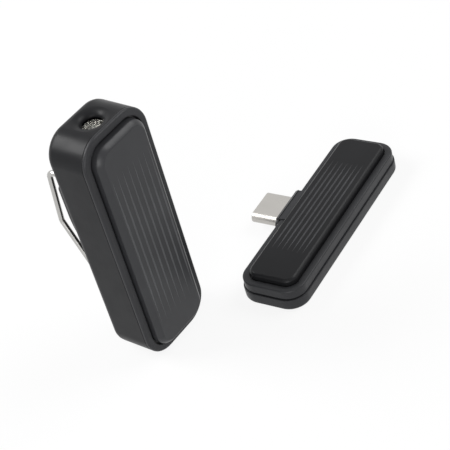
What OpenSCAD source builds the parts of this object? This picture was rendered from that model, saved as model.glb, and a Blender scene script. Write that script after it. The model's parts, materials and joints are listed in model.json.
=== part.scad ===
// Clip-on lavalier microphone transmitter with a ribbed face and a spring wire clip,
// and its plug-in receiver lying beside it. Millimetres.
// The transmitter stands on its bottom end: +Z runs up its length, -Y is its ribbed face.
// The receiver lies on its back with its ribbed face up.

/* [Transmitter housing] */
// Length of the transmitter from end to end
tx_length = 52.5; // [50:0.5:60]
// Width across the ribbed face
tx_width = 17.5; // [16.5:0.1:20]
// Depth from the front rim to the back, without the pad and the clip
tx_depth = 9.8; // [9.8:0.1:12.4]
// Radius of the four corners of the outline
tx_corner_r = 5.4; // [3.8:0.1:5.6]
// Thickness of the moulded walls
tx_wall = 1.2; // [1.1:0.05:1.3]
// Rounding of the edge between the sides and the back
tx_back_round = 1.8; // [0.5:0.1:2]
// Thickness of the front bezel
bezel_t = 0.8; // [0.6:0.05:0.9]
// Rounding of the bezel's outer edge
bezel_round = 0.45; // [0.1:0.05:0.5]
// Width of the rim that the bezel shows around the pad
bezel_rim = 1.4; // [1.2:0.05:1.6]

/* [Transmitter pad] */
// Height of the pad above the rim
tx_pad_rise = 1.8; // [1:0.05:2]
// Rounding of the pad's front edge
tx_pad_round = 0.75; // [0.3:0.05:1]
// Width of the groove between the rim and the pad
pad_groove = 0.55; // [0.3:0.05:0.6]
// Thickness of the pad's hidden flange
pad_flange_t = 0.9; // [0.7:0.05:1]
// Number of grooves in the face
tx_rib_count = 8; // [5:1:8]
// Distance from groove to groove
tx_rib_pitch = 1.5; // [1:0.02:1.54]
// Length of a groove, with its faded ends
tx_rib_length = 36; // [24:0.5:40]
// Length over which each end of a groove fades out
tx_rib_fade = 8; // [2:0.5:11]
// Depth of a groove
tx_rib_depth = 0.25; // [0.1:0.05:0.4]
// Width of a groove
tx_rib_w = 0.55; // [0.3:0.05:0.8]

/* [Microphone] */
// Distance of the microphone's axis in front of the mid-plane
mic_offset = 0.4; // [0.2:0.05:0.45]
// Radius of the sound opening in the top end
mic_hole_r = 2.05; // [1.6:0.05:2.1]
// Radius of the rounded lip around the opening
mic_lip_r = 1.1; // [0.4:0.05:1.2]
// Depth of the mesh below the top end
mic_mesh_depth = 1.55; // [1.3:0.05:1.8]
// Radius of the mesh disc
mesh_r = 2.2; // [2.15:0.05:2.3]
// Thickness of the mesh disc
mesh_t = 0.2; // [0.15:0.05:0.3]
// Distance from hole to hole in the mesh
mesh_pitch = 0.5; // [0.45:0.05:0.7]
// Width of one square hole in the mesh
mesh_hole = 0.28; // [0.15:0.02:0.35]
// Radius of the microphone capsule
capsule_r = 1.9; // [1.5:0.05:1.9]
// Height of the microphone capsule
capsule_h = 1.5; // [1.1:0.05:1.6]
// Thickness of the foam ring above the capsule
foam_t = 0.4; // [0.25:0.05:0.5]
// Thickness of the wall around the microphone
mic_collar_wall = 0.4; // [0.35:0.05:0.5]

/* [Clip] */
// Diameter of the spring wire
wire_d = 1.1; // [0.8:0.05:1.15]
// Distance of each leg from the middle
leg_x = 5.4; // [4.8:0.1:5.6]
// Distance of the clip's pivot below the top end
pivot_below = 10.6; // [9.5:0.1:12]
// Distance of the wire's top bend behind the back
bend_reach = 4.6; // [4.2:0.05:5.6]
// Distance of the wire's kink behind the back
kink_reach = 6.3; // [5.6:0.05:7.4]
// Distance of the kink below the pivot
kink_below = 12.4; // [11:0.1:15]
// Distance of the crossbar below the pivot
lip_below = 26.7; // [24.6:0.1:28.4]
// Radius of the wire's bends, at its middle line
wire_bend_r = 1.4; // [1:0.05:1.6]
// Radius of the bend between a leg and its pivot pin
pin_bend_r = 0.9; // [0.7:0.05:1]
// Length of the pivot pin inside the housing, from the leg's middle line
pin_length = 2.6; // [2.2:0.1:3]
// Angle by which the clip opens
clip_open_angle = 18; // [8:1:20]
// Radial running clearance of the pivot pins
pivot_gap = 0.05; // [0.02:0.01:0.08]
// Clearance of the legs in their slots
slot_gap = 0.2; // [0.15:0.05:0.3]
// Gap between the crossbar and the back at rest
lip_gap = 0.1; // [0.05:0.05:0.3]
// Height of the block under the clip
block_rise = 3.4; // [2:0.1:3.6]
// Width of the block under the clip
block_w = 12; // [8:0.1:12.4]
// Distance of the block's lower end below the pivot
block_low_below = 21.3; // [19.5:0.1:22.5]
// Distance of the block's crest below the pivot
block_crest_below = 9.7; // [9:0.1:11]
// Height of the block's straight crown, below its rounded upper end
block_crown = 5.9; // [4.8:0.1:6.4]
// Rounding of the block's upper end
block_nose_r = 1.4; // [1:0.1:2]
// Rounding of the block's long edges
block_side_r = 0.6; // [0.2:0.05:0.8]

/* [Transmitter inside] */
// Thickness of the circuit boards
board_t = 0.8; // [0.6:0.1:0.9]
// Distance of the board's back side in front of the mid-plane
board_forward = 0.6; // [0.5:0.05:0.75]
// Gap between the board and the side walls
board_gap = 0.4; // [0.3:0.05:0.6]
// Height of the board's lower end above the bottom end
board_low = 4.2; // [3.8:0.1:5]
// Gap between the board's upper end and the microphone
board_mic_gap = 1.25; // [1:0.05:2]
// Thickness of the battery
battery_t = 4; // [2.5:0.1:4.2]
// Width of the battery
battery_w = 10.6; // [8:0.1:11]
// Gap at each end of the battery
battery_gap = 0.5; // [0.3:0.1:2]
// Side of the radio chip
radio_side = 5; // [3:0.5:6]
// Side of the sound chip
sound_side = 3; // [2:0.5:4]
// Side of the charging chip
charger_side = 4; // [2:0.5:5]
// Height of the chips above their board
chip_t = 0.9; // [0.5:0.05:1]
// Length of the antenna
antenna_l = 7; // [4:0.5:7]
// Width of the antenna
antenna_w = 2; // [1:0.1:2.2]
// Height of the antenna above its board
antenna_t = 1; // [0.6:0.05:1]
// Radius of a screw's shank
screw_r = 0.5; // [0.4:0.05:0.6]
// Radius of a screw's head
screw_head_r = 0.95; // [0.8:0.05:1]
// Height of a screw's head
screw_head_t = 0.5; // [0.4:0.05:0.7]
// Radius of the screw bosses
boss_r = 1.1; // [1:0.05:1.15]

/* [Button, light and charging socket] */
// Distance of the power button below the top end
button_below = 18.3; // [17:0.1:20]
// Length of the power button
button_l = 5.6; // [4:0.1:6]
// Width of the power button
button_w = 2.2; // [1.6:0.1:2.4]
// Height of the power button above the side
button_rise = 0.4; // [0.3:0.05:0.6]
// Travel of the power button
button_travel = 0.25; // [0.15:0.05:0.3]
// Clearance around the power button
button_gap = 0.15; // [0.1:0.05:0.2]
// Distance of the button and the light behind the mid-plane
button_back = 0.3; // [0.1:0.05:0.5]
// Distance of the status light below the top end
light_below = 12.9; // [12:0.1:13.4]
// Radius of the status light
light_r = 0.6; // [0.4:0.05:0.8]
// Width of the charging socket's opening
socket_w = 8.94; // [8.8:0.02:9]
// Height of the charging socket's opening, with its shell
socket_h = 3.16; // [3:0.02:3.2]
// Length of the charging socket
socket_l = 7.2; // [6:0.1:7.4]
// Thickness of the charging socket's shell
socket_shell_t = 0.3; // [0.2:0.02:0.32]

/* [Receiver housing] */
// Length of the receiver from end to end
rx_length = 48.4; // [45:0.2:54]
// Width across the ribbed face
rx_width = 14.4; // [13.6:0.1:16.4]
// Height of the receiver from its back to its rim
rx_height = 5; // [4.9:0.1:6.5]
// Radius of the four corners of the outline
rx_corner_r = 4.2; // [3.4:0.1:4.6]
// Thickness of the receiver's walls
rx_wall = 1; // [0.9:0.05:1.1]
// Height of the receiver's back shell
rx_split = 2.7; // [2.6:0.05:2.8]
// Width of the parting groove between the two shells
rx_split_groove = 0.25; // [0.15:0.05:0.35]
// Amount by which the front shell is narrower on each side
rx_front_step = 0.25; // [0.1:0.05:0.4]
// Rounding of the receiver's back edge
rx_back_round = 0.8; // [0.3:0.1:1]
// Rounding of the front shell's outer edge
rx_rim_round = 0.3; // [0.1:0.05:0.4]
// Width of the rim around the pad
rx_rim = 1.5; // [1.3:0.05:1.6]
// Height of the pad above the rim
rx_pad_rise = 1.4; // [0.8:0.05:1.6]
// Width of the bevel around the pad
rx_pad_bevel = 0.55; // [0.3:0.05:0.8]
// Width of the groove between the rim and the pad
rx_pad_groove = 0.2; // [0.15:0.05:0.3]
// Number of grooves in the receiver's face
rx_rib_count = 7; // [5:1:8]
// Distance from groove to groove
rx_rib_pitch = 1.16; // [0.9:0.01:1.2]
// Length of a groove, with its faded ends
rx_rib_length = 28.5; // [18:0.5:33]
// Length over which each end of a groove fades out
rx_rib_fade = 6; // [2:0.5:9]
// Depth of a groove
rx_rib_depth = 0.18; // [0.1:0.02:0.3]
// Width of a groove
rx_rib_w = 0.4; // [0.25:0.05:0.6]

/* [Receiver plug] */
// Width of the plug's metal shell
plug_w = 8.34; // [8.3:0.01:8.36]
// Height of the plug's metal shell
plug_h = 2.56; // [2.5:0.01:2.6]
// Length of the plug that stands out of its collar
plug_l = 6.6; // [6.2:0.05:6.8]
// Thickness of the plug's metal shell
plug_shell_t = 0.32; // [0.25:0.01:0.35]
// Height of the plug's middle above the receiver's back
plug_z = 2.75; // [2.7:0.05:2.9]
// Height of the slot inside the plug
plug_slot_h = 0.86; // [0.76:0.02:0.9]
// Number of contacts on each side of the plug's slot
contact_count = 12; // [6:1:12]
// Distance from contact to contact
contact_pitch = 0.5; // [0.45:0.01:0.5]
// Height of the collar above the side
collar_rise = 0.8; // [0.5:0.05:1.1]
// Length of the collar along the side
collar_l = 11.2; // [10.4:0.1:12.5]
// Width of the collar, across the plug
collar_w = 4.2; // [3.9:0.05:4.3]
// Distance of the bridge's ends from the collar's ends
bridge_inset = 1; // [0.5:0.1:2]
// Height of the bridge that joins the collar to the pad, above the rim
bridge_rise = 0.35; // [0.2:0.05:0.5]

/* [Arrangement] */
// Distance of the receiver's middle to the right of the transmitter
rx_right = 37.2; // [30:0.2:48]
// Distance of the receiver's middle in front of the transmitter
rx_front = 15; // [10:0.2:24]
// Turn of the receiver about the upright axis
rx_turn = 6; // [0:0.5:30]

/* [Hidden] */

round_fn = 64;   // facets of an exact round feature
hull_fn = 32;    // facets of a corner that is part of a hull
edge_steps = 5;  // steps of a rounded edge
bite = 0.05;     // how far a cut runs past the face it starts from
fit = 0.05;      // gap of a part that is located in another
tilt = 0.02;     // least difference that keeps two faces apart

charcoal = [0.2, 0.205, 0.215];
black = [0.1, 0.1, 0.105];
steel = [0.8, 0.79, 0.77];
nickel = [0.74, 0.72, 0.69];
gold = [0.85, 0.66, 0.3];
board_green = [0.08, 0.3, 0.2];

// Transmitter planes, from the front to the back
tx_front_y = -tx_depth / 2;
tx_back_y = tx_depth / 2;
shell_front_y = tx_front_y + bezel_t;
ledge_y = shell_front_y + pad_flange_t;
back_in_y = tx_back_y - tx_wall;
board_back_y = -board_forward;
board_front_y = board_back_y - board_t;
tx_mid_z = tx_length / 2;
tx_side_in = tx_width / 2 - tx_wall;
tx_pad_inset = bezel_rim + pad_groove;
flange_inset = tx_wall / 2 + fit;

// Microphone stack, from the top end down
mic_y = -mic_offset;
mesh_top_z = tx_length - mic_mesh_depth;
foam_top_z = mesh_top_z - mesh_t;
capsule_top_z = foam_top_z - foam_t;
boot_floor_t = 0.3;
boot_low_z = capsule_top_z - capsule_h - boot_floor_t;
mic_seat_r = mesh_r + fit;

// Clip
wire_r = wire_d / 2;
pivot_z = tx_length - pivot_below;
kink_z = pivot_z - kink_below;
lip_z = pivot_z - lip_below;
block_low = pivot_z - block_low_below;
block_crest = pivot_z - block_crest_below;
block_top_z = block_crest + block_nose_r + block_crown;
pivot_bore_r = wire_r + pivot_gap;
bracket_cap = 0.25;     // metal between the pivot bores and the housing's back
bracket_wall = 0.55;    // metal around the pivot bores elsewhere
pivot_y = back_in_y - bracket_cap - pivot_bore_r;
lip_y = tx_back_y + wire_r + lip_gap;
bend_drop = 0.1;        // how far the top bend lies below the pivot
bend_point = [leg_x, tx_back_y + bend_reach, pivot_z - bend_drop];
kink_point = [leg_x, tx_back_y + kink_reach, kink_z];
lip_point = [leg_x, lip_y, lip_z];
pin_point = [leg_x, pivot_y, pivot_z];
pin_end = [leg_x - pin_length, pivot_y, pivot_z];

// Power button: the flange that keeps it in, and its switch
button_z = tx_length - button_below;
button_flange_t = 0.5;
button_flange_l = 1.2;  // how much longer the flange is than the button
button_flange_gap = 0.1;
button_inner_x = tx_side_in - button_flange_gap - button_flange_t;
switch_l = 3.4;
light_z = tx_length - light_below;

// Charging socket
socket_y = board_back_y + socket_h / 2;
socket_recess = 0.3;
socket_back_t = 0.4;
socket_top_z = socket_recess + socket_l;

// Transmitter's board, its screws as [x, z], and the battery behind it
screw_grip = 2.2;       // how deep a screw goes into its boss
boss_gap = 0.1;         // gap between a boss and what lies beside it
board_high = boot_low_z - board_mic_gap;
screw_side_x = tx_side_in - boss_r - boss_gap;
screw_top_x = 4.9;
screw_edge_gap = 0.8;   // from a boss to the board's upper end
screw_top_z = board_high - boss_r - screw_edge_gap;
screw_low_z = socket_top_z + boss_r + 2 * boss_gap;
screw_places = [[screw_top_x, screw_top_z], [-screw_top_x, screw_top_z],
                [screw_side_x, screw_low_z], [-screw_side_x, screw_low_z]];
battery_low = screw_low_z + boss_r + battery_gap;
battery_high = button_z - switch_l / 2 - battery_gap;
battery_corner_r = 1;

// Receiver, in its own frame: +X along it, +Y towards the plug, +Z up from its back
rx_front_low = rx_split + rx_split_groove;
rx_cavity_w = rx_width - 2 * (rx_wall + rx_front_step);
rx_cavity_l = rx_length - 2 * (rx_wall + rx_front_step);
rx_cavity_r = rx_corner_r - rx_wall - rx_front_step;
rx_front_w = rx_width - 2 * rx_front_step;
rx_front_l = rx_length - 2 * rx_front_step;
rx_front_r = rx_corner_r - rx_front_step;
rx_lid_t = 1;           // thickness of the front shell's top
rx_pad_sink = 0.5;      // how deep the pad sits in the front shell
rx_pad_inset = rx_rim + rx_pad_groove;
rx_pad_w = rx_front_w - 2 * rx_pad_inset;
rx_pad_l = rx_front_l - 2 * rx_pad_inset;
rx_pad_r = rx_front_r - rx_pad_inset;
rx_pad_seat = rx_height - rx_pad_sink;
plug_root_y = rx_width / 2 + collar_rise;
plug_inner_l = 2.6;     // length of the plug inside the housing
plug_inner_y = rx_width / 2 - plug_inner_l;
plug_tip_y = plug_root_y + plug_l;
plug_run = 1;           // how far the plug's cutters run past the parts they open
rx_board_end_gap = 3;
rx_board_side_gap = 0.3;
rx_board_l = rx_cavity_l - 2 * rx_board_end_gap;
rx_board_top = rx_wall + board_t;

// Points on an arc from angle a0 to a1 about c
function arc(c, r, a0, a1, n = edge_steps) =
    [for (i = [0:n]) c + r * [cos(a0 + (a1 - a0) * i / n), sin(a0 + (a1 - a0) * i / n)]];

// Outline with round corners, centred
module outline(w, l, r) {
    square([w - 2 * r, l], center = true);
    square([w, l - 2 * r], center = true);
    for (sx = [-1, 1], sy = [-1, 1])
        translate([sx * (w / 2 - r), sy * (l / 2 - r)])
            circle(r = r, $fn = round_fn);
}

// Plate that lies flat from z0 to z1
module flat_plate(w, l, r, z0, z1) {
    translate([0, 0, z0]) linear_extrude(z1 - z0) outline(w, l, r);
}

// Round post along +Z with rounded or bevelled rims: low at z0, high at z1
module post(r, z0, z1, low, high, steps) {
    rotate_extrude($fn = hull_fn)
        polygon(concat([[0, z0]],
                       low > 0 ? arc([r - low, z0 + low], low, -90, 0, steps) : [[r, z0]],
                       high > 0 ? arc([r - high, z1 - high], high, 0, 90, steps) : [[r, z1]],
                       [[0, z1]]));
}

// Plate that lies flat, with its edges rounded by low and high, or bevelled when steps is 1
module soft_plate(w, l, r, z0, z1, low, high, steps = edge_steps) {
    hull()
        for (sx = [-1, 1], sy = [-1, 1])
            translate([sx * (w / 2 - r), sy * (l / 2 - r), 0])
                post(r, z0, z1, low, high, steps);
}

// Turns a plate that lies flat into one that stands in the transmitter, with z as depth:
// its z becomes +Y and its middle is at mid-height
module upright() {
    translate([0, 0, tx_mid_z]) mirror([0, 1, 0]) rotate([90, 0, 0]) children();
}

// One long groove in a face at z = 0, with ends that fade out
module faded_groove(l, w, d, fade) {
    top = bite;
    h = l / 2;
    m = h - fade;
    s = w / 2;
    polyhedron(
        points = [[-s, -m, top], [s, -m, top], [s, m, top], [-s, m, top],
                  [0, -h, top], [0, h, top], [0, -m, -d], [0, m, -d]],
        faces = [[0, 6, 7], [0, 7, 3], [1, 2, 7], [1, 7, 6], [0, 4, 6], [4, 1, 6],
                 [3, 7, 5], [5, 7, 2], [0, 3, 5], [0, 5, 2], [0, 2, 1], [0, 1, 4]]);
}

// Row of grooves across a face at z = 0, along Y
module groove_row(count, pitch, l, w, d, fade) {
    for (i = [0:count - 1])
        translate([(i - (count - 1) / 2) * pitch, 0, 0]) faded_groove(l, w, d, fade);
}

// Slot-shaped bar along +X: round-ended in Z, w thick in Y
module side_bar(l, w, x0, x1) {
    translate([x0, 0, 0]) rotate([90, 0, 90]) linear_extrude(x1 - x0) {
        square([w, l - w], center = true);
        for (s = [-1, 1]) translate([0, s * (l - w) / 2]) circle(d = w, $fn = round_fn);
    }
}

// Flat-sided round-ended tube section for plugs and sockets, centred
module stadium(w, h) {
    square([w - h, h], center = true);
    for (s = [-1, 1]) translate([s * (w - h) / 2, 0]) circle(d = h, $fn = round_fn);
}

// Direction from a to b
function heading(a, b) = (b - a) / norm(b - a);

// Points of the wire's middle line where it bends at p, on its way from a to b
function bend_points(a, p, b, r, steps) =
    let (u = heading(a, p), v = heading(p, b),
         turn = acos(u * v),
         side = (v - u * (u * v)) / norm(v - u * (u * v)),
         c = p - u * r * tan(turn / 2) + side * r)
    [for (i = [0:steps])
        let (t = turn * i / steps)
        c + r * (u * sin(t) - side * cos(t))];

// Directions along a line of points
function headings(line) =
    let (n = len(line))
    [for (i = [0:n - 1]) heading(line[max(i - 1, 0)], line[min(i + 1, n - 1)])];

// Carries a crosswise direction along the headings without twist
function carried(dirs, cross_dir, i = 0) =
    i == len(dirs) ? [] :
    let (flat = cross_dir - dirs[i] * (cross_dir * dirs[i]), unit = flat / norm(flat))
    concat([unit], carried(dirs, unit, i + 1));

// Round wire along a line of points; start_side is crosswise to its start
module wire(line, r, start_side, sides = 16) {
    dirs = headings(line);
    across = carried(dirs, start_side);
    n = len(line);
    rings = [for (i = [0:n - 1], k = [0:sides - 1])
        let (a = 360 * k / sides)
        line[i] + r * (across[i] * cos(a) + cross(dirs[i], across[i]) * sin(a))];
    skin = [for (i = [0:n - 2], k = [0:sides - 1])
        let (a = i * sides + k, b = i * sides + (k + 1) % sides)
        each [[a, a + sides, b + sides], [a, b + sides, b]]];
    ends = [[for (k = [0:sides - 1]) k],
            [for (k = [sides - 1:-1:0]) (n - 1) * sides + k]];
    polyhedron(points = rings, faces = concat(skin, ends));
}

// ---- Transmitter ----

// Outer form of the housing with its cavity and the seat of the pad's flange
module shell_tub() {
    difference() {
        upright() soft_plate(tx_width, tx_length, tx_corner_r, shell_front_y, tx_back_y,
                             0, tx_back_round);
        upright() flat_plate(2 * tx_side_in, tx_length - 2 * tx_wall, tx_corner_r - tx_wall,
                             ledge_y - bite, back_in_y);
        upright() flat_plate(tx_width - tx_wall, tx_length - tx_wall, tx_corner_r - tx_wall / 2,
                             shell_front_y - bite, ledge_y);
    }
}

// Boss for one screw, on the inside of the back
module screw_boss() {
    rotate([-90, 0, 0]) cylinder(r = boss_r, h = back_in_y - board_back_y + bite, $fn = round_fn);
}

// Cutter for the sound opening with its rounded lip, from the top end down
module mic_cut() {
    lip = mic_lip_r;
    rotate_extrude($fn = round_fn)
        polygon(concat([[0, bite], [mic_hole_r + lip, bite]],
                       arc([mic_hole_r + lip, -lip], lip, 90, 180),
                       [[mic_hole_r, -mic_mesh_depth - bite], [0, -mic_mesh_depth - bite]]));
}

module tx_main_shell() color(charcoal) {
    collar_low = boot_low_z;
    slot_x = wire_r + slot_gap;
    slot_low = pivot_z - bend_drop - wire_r - slot_gap;
    slot_high = pivot_z + (tx_back_y - pivot_y) * tan(clip_open_angle) + wire_r + slot_gap;
    difference() {
        union() {
            shell_tub();
            for (p = screw_places) translate([p[0], board_back_y, p[1]]) screw_boss();
            translate([0, mic_y, collar_low])
                cylinder(r = mic_seat_r + mic_collar_wall, h = tx_length - tx_wall / 2 - collar_low,
                         $fn = round_fn);
        }
        // sound opening and the seat of the microphone
        translate([0, mic_y, tx_length]) mic_cut();
        translate([0, mic_y, collar_low - bite])
            cylinder(r = mic_seat_r, h = mesh_top_z - collar_low + bite, $fn = round_fn);
        // screw holes
        for (p = screw_places)
            translate([p[0], board_back_y - bite, p[1]])
                rotate([-90, 0, 0])
                    cylinder(r = screw_r + tilt, h = screw_grip + 2 * bite, $fn = round_fn);
        // slots for the two legs of the clip
        for (s = [-1, 1])
            translate([s * leg_x - slot_x, back_in_y - bite, slot_low])
                cube([2 * slot_x, tx_wall + 2 * bite, slot_high - slot_low]);
        // button, light and charging socket
        translate([0, button_back, button_z])
            side_bar(button_l + 2 * button_gap, button_w + 2 * button_gap,
                     tx_side_in - bite, tx_width / 2 + bite);
        translate([tx_side_in - bite, button_back, light_z])
            rotate([0, 90, 0]) cylinder(r = light_r + fit, h = tx_wall + 2 * bite, $fn = round_fn);
        translate([0, socket_y, -bite])
            linear_extrude(socket_top_z + fit + bite) stadium(socket_w + 2 * fit, socket_h + 2 * fit);
    }
}

module tx_front_bezel() color(charcoal) {
    shadow_gap = 0.12;    // height of the parting line against the main shell
    shadow_inset = 0.18;  // depth of the parting line
    difference() {
        union() {
            upright() soft_plate(tx_width, tx_length, tx_corner_r,
                                 tx_front_y, shell_front_y - shadow_gap, bezel_round, 0);
            upright() flat_plate(tx_width - 2 * shadow_inset, tx_length - 2 * shadow_inset,
                                 tx_corner_r - shadow_inset, tx_front_y + bezel_round, shell_front_y);
        }
        upright() flat_plate(tx_width - 2 * bezel_rim, tx_length - 2 * bezel_rim,
                             tx_corner_r - bezel_rim, tx_front_y - bite, shell_front_y + bite);
    }
}

module tx_ribbed_pad() color(charcoal) {
    inset = tx_pad_inset;
    face_y = tx_front_y - tx_pad_rise;
    difference() {
        union() {
            upright() soft_plate(tx_width - 2 * inset, tx_length - 2 * inset, tx_corner_r - inset,
                                 face_y, ledge_y - bite, tx_pad_round, 0);
            upright() flat_plate(tx_width - 2 * flange_inset, tx_length - 2 * flange_inset,
                                 tx_corner_r - flange_inset, shell_front_y, ledge_y);
        }
        translate([0, face_y, tx_mid_z]) rotate([90, 0, 0])
            groove_row(tx_rib_count, tx_rib_pitch, tx_rib_length, tx_rib_w, tx_rib_depth, tx_rib_fade);
    }
}

module mic_mesh() color(steel) {
    reach = floor((mesh_r - mesh_hole) / mesh_pitch);
    translate([0, mic_y, foam_top_z]) difference() {
        cylinder(r = mesh_r, h = mesh_t, $fn = round_fn);
        for (i = [-reach:reach], j = [-reach:reach])
            if (norm([i, j]) * mesh_pitch < mesh_r - mesh_hole)
                translate([i * mesh_pitch - mesh_hole / 2, j * mesh_pitch - mesh_hole / 2, -bite])
                    cube([mesh_hole, mesh_hole, mesh_t + 2 * bite]);
    }
}

module mic_foam_ring() color(black) {
    foam_ledge = 0.75;    // how far the foam covers the capsule's rim
    foam_bore_r = capsule_r - foam_ledge;
    translate([0, mic_y, capsule_top_z]) difference() {
        cylinder(r = mesh_r, h = foam_t, $fn = round_fn);
        translate([0, 0, -bite]) cylinder(r = foam_bore_r, h = foam_t + 2 * bite, $fn = round_fn);
    }
}

module mic_capsule() color(steel) {
    port_r = 0.5;
    port_depth = 0.3;
    translate([0, mic_y, capsule_top_z - capsule_h]) difference() {
        cylinder(r = capsule_r, h = capsule_h, $fn = round_fn);
        translate([0, 0, capsule_h - port_depth])
            cylinder(r = port_r, h = port_depth + bite, $fn = round_fn);
    }
}

module mic_rubber_boot() color(black) {
    wire_hole_r = 0.95;
    translate([0, mic_y, boot_low_z]) difference() {
        cylinder(r = mesh_r, h = capsule_top_z - boot_low_z, $fn = round_fn);
        translate([0, 0, boot_floor_t])
            cylinder(r = capsule_r + tilt, h = capsule_h + bite, $fn = round_fn);
        translate([0, 0, -bite])
            cylinder(r = wire_hole_r, h = boot_floor_t + 2 * bite, $fn = round_fn);
    }
}

// Height of the block above the back at height z
function block_curve(z) =
    let (t = (block_crest - z) / (block_crest - block_low))
    z > block_crest ? block_rise : block_rise * (1 - t * t);

// Side view of the block, as [depth, height], drawn in by inset
function block_outline(inset) =
    let (steps = 8,
         top = block_top_z - inset,
         nose = block_nose_r - inset / 2)
    concat([[0, block_low + inset]],
           [for (i = [1:steps])
               let (z = block_low + (block_crest - block_low) * i / steps)
               [block_curve(z) - inset, z]],
           arc([block_rise - inset - nose, top - nose], nose, 0, 90),
           [[0, top]]);

module clip_block() color(black) {
    translate([0, tx_back_y, 0]) hull() {
        block_slice(block_w, block_side_r);
        block_slice(block_w - 2 * block_side_r, 0);
    }
}

// The block's side view, w wide
module block_slice(w, inset) {
    translate([-w / 2, 0, 0]) rotate([90, 0, 90]) linear_extrude(w) polygon(block_outline(inset));
}

module clip_wire() color(steel) {
    middle = [0, lip_point[1], lip_point[2]];
    right = concat([pin_end],
                   bend_points(pin_end, pin_point, bend_point, pin_bend_r, 5),
                   bend_points(pin_point, bend_point, kink_point, wire_bend_r, 6),
                   bend_points(bend_point, kink_point, lip_point, wire_bend_r, 3),
                   bend_points(kink_point, lip_point, middle, wire_bend_r, 6));
    left = [for (i = [len(right) - 1:-1:0]) [-right[i][0], right[i][1], right[i][2]]];
    wire(concat(right, left), wire_r, [0, 0, 1]);
}

module clip_pivot_bracket() color(steel) {
    reach = 0.3;    // how far the bores run past the pins' ends, and the bracket past their bends
    half = leg_x - wire_r - pin_bend_r + reach;
    height = 2 * (pivot_bore_r + bracket_wall);
    front_y = pivot_y - pivot_bore_r - bracket_wall;
    difference() {
        translate([-half, front_y, pivot_z - height / 2])
            cube([2 * half, back_in_y - front_y, height]);
        for (s = [-1, 1])
            translate([s * (half + bite), pivot_y, pivot_z]) rotate([0, -s * 90, 0])
                cylinder(r = pivot_bore_r, h = half + bite - (leg_x - pin_length) + reach,
                         $fn = round_fn);
    }
}

module tx_circuit_board() color(board_green) {
    w = 2 * (tx_side_in - board_gap);
    notch_x = button_inner_x - button_travel - board_gap / 2;
    notch_l = button_l + button_flange_l + 2 * board_gap;
    difference() {
        translate([-w / 2, board_front_y, board_low]) cube([w, board_t, board_high - board_low]);
        // notch that the button's flange moves in
        translate([notch_x, board_front_y - bite, button_z - notch_l / 2])
            cube([w, board_t + 2 * bite, notch_l]);
        for (p = screw_places)
            translate([p[0], board_front_y - bite, p[1]]) rotate([-90, 0, 0])
                cylinder(r = screw_r + fit, h = board_t + 2 * bite, $fn = round_fn);
    }
}

module tx_board_screws() color(steel) {
    for (p = screw_places)
        translate([p[0], board_front_y - screw_head_t, p[1]]) rotate([-90, 0, 0]) {
            cylinder(r = screw_head_r, h = screw_head_t, $fn = round_fn);
            cylinder(r = screw_r, h = screw_head_t + board_t + screw_grip, $fn = round_fn);
        }
}

// Chip on the front side of the transmitter's board: l along Z
module front_chip(w, l, t, x, z) {
    translate([x - w / 2, board_front_y - t, z - l / 2]) cube([w, t, l]);
}

module tx_chips() color(black) {
    mid_z = (board_low + board_high) / 2;
    spacing = radio_side + charger_side;
    front_chip(radio_side, radio_side, chip_t, -radio_side / 4, mid_z + radio_side / 4);
    front_chip(sound_side, sound_side, chip_t, radio_side / 2 + sound_side / 2, mid_z + spacing);
    front_chip(charger_side, charger_side, chip_t, 0, mid_z - spacing);
}

module tx_antenna() color(steel) {
    edge_gap = 2.8;
    front_chip(antenna_l, antenna_w, antenna_t, 0, board_high - edge_gap - antenna_w / 2);
}

module battery() color(steel) {
    translate([0, board_back_y + fit, (battery_low + battery_high) / 2]) rotate([-90, 0, 0])
        linear_extrude(battery_t)
            outline(battery_w, battery_high - battery_low, battery_corner_r);
}

module power_button() color(black) {
    flange_w = 0.7;
    translate([0, button_back, button_z]) {
        side_bar(button_l, button_w, button_inner_x + bite, tx_width / 2 + button_rise);
        side_bar(button_l + button_flange_l, button_w + flange_w,
                 button_inner_x, button_inner_x + button_flange_t);
    }
}

module button_switch() color(steel) {
    body_t = 1;
    dome_t = 0.25;
    dome_r = 0.7;
    press_gap = 0.04;
    dome_x = button_inner_x - button_travel - press_gap - dome_t;
    translate([dome_x - body_t, board_back_y, button_z - switch_l / 2])
        cube([body_t, 2 * (button_back - board_back_y), switch_l]);
    translate([dome_x - bite, button_back, button_z])
        rotate([0, 90, 0]) cylinder(r = dome_r, h = dome_t + bite, $fn = round_fn);
}

module status_light() color("white") {
    root = 0.4;
    translate([tx_side_in - root, button_back, light_z]) rotate([0, 90, 0])
        cylinder(r = light_r, h = tx_wall + root, $fn = round_fn);
}

module charge_socket_shell() color(nickel) {
    translate([0, socket_y, socket_recess]) difference() {
        linear_extrude(socket_l) stadium(socket_w, socket_h);
        translate([0, 0, -bite]) linear_extrude(socket_l - socket_back_t + bite)
            stadium(socket_w - 2 * socket_shell_t, socket_h - 2 * socket_shell_t);
    }
}

module charge_socket_tongue() color(black) {
    tongue_w = 6.7;
    tongue_t = 0.7;
    tongue_set_back = 0.9;
    root_l = 1.6;
    base_z = socket_top_z - socket_back_t;
    tip_z = socket_recess + tongue_set_back;
    translate([-tongue_w / 2, socket_y - tongue_t / 2, tip_z])
        cube([tongue_w, tongue_t, base_z - tip_z]);
    translate([0, socket_y, base_z - root_l]) linear_extrude(root_l)
        stadium(socket_w - 2 * (socket_shell_t + tilt), socket_h - 2 * (socket_shell_t + tilt));
}

// ---- Receiver ----

// Places the receiver beside the transmitter
module lay_receiver() {
    translate([rx_right, -rx_front, 0]) rotate([0, 0, rx_turn]) children();
}

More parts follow.
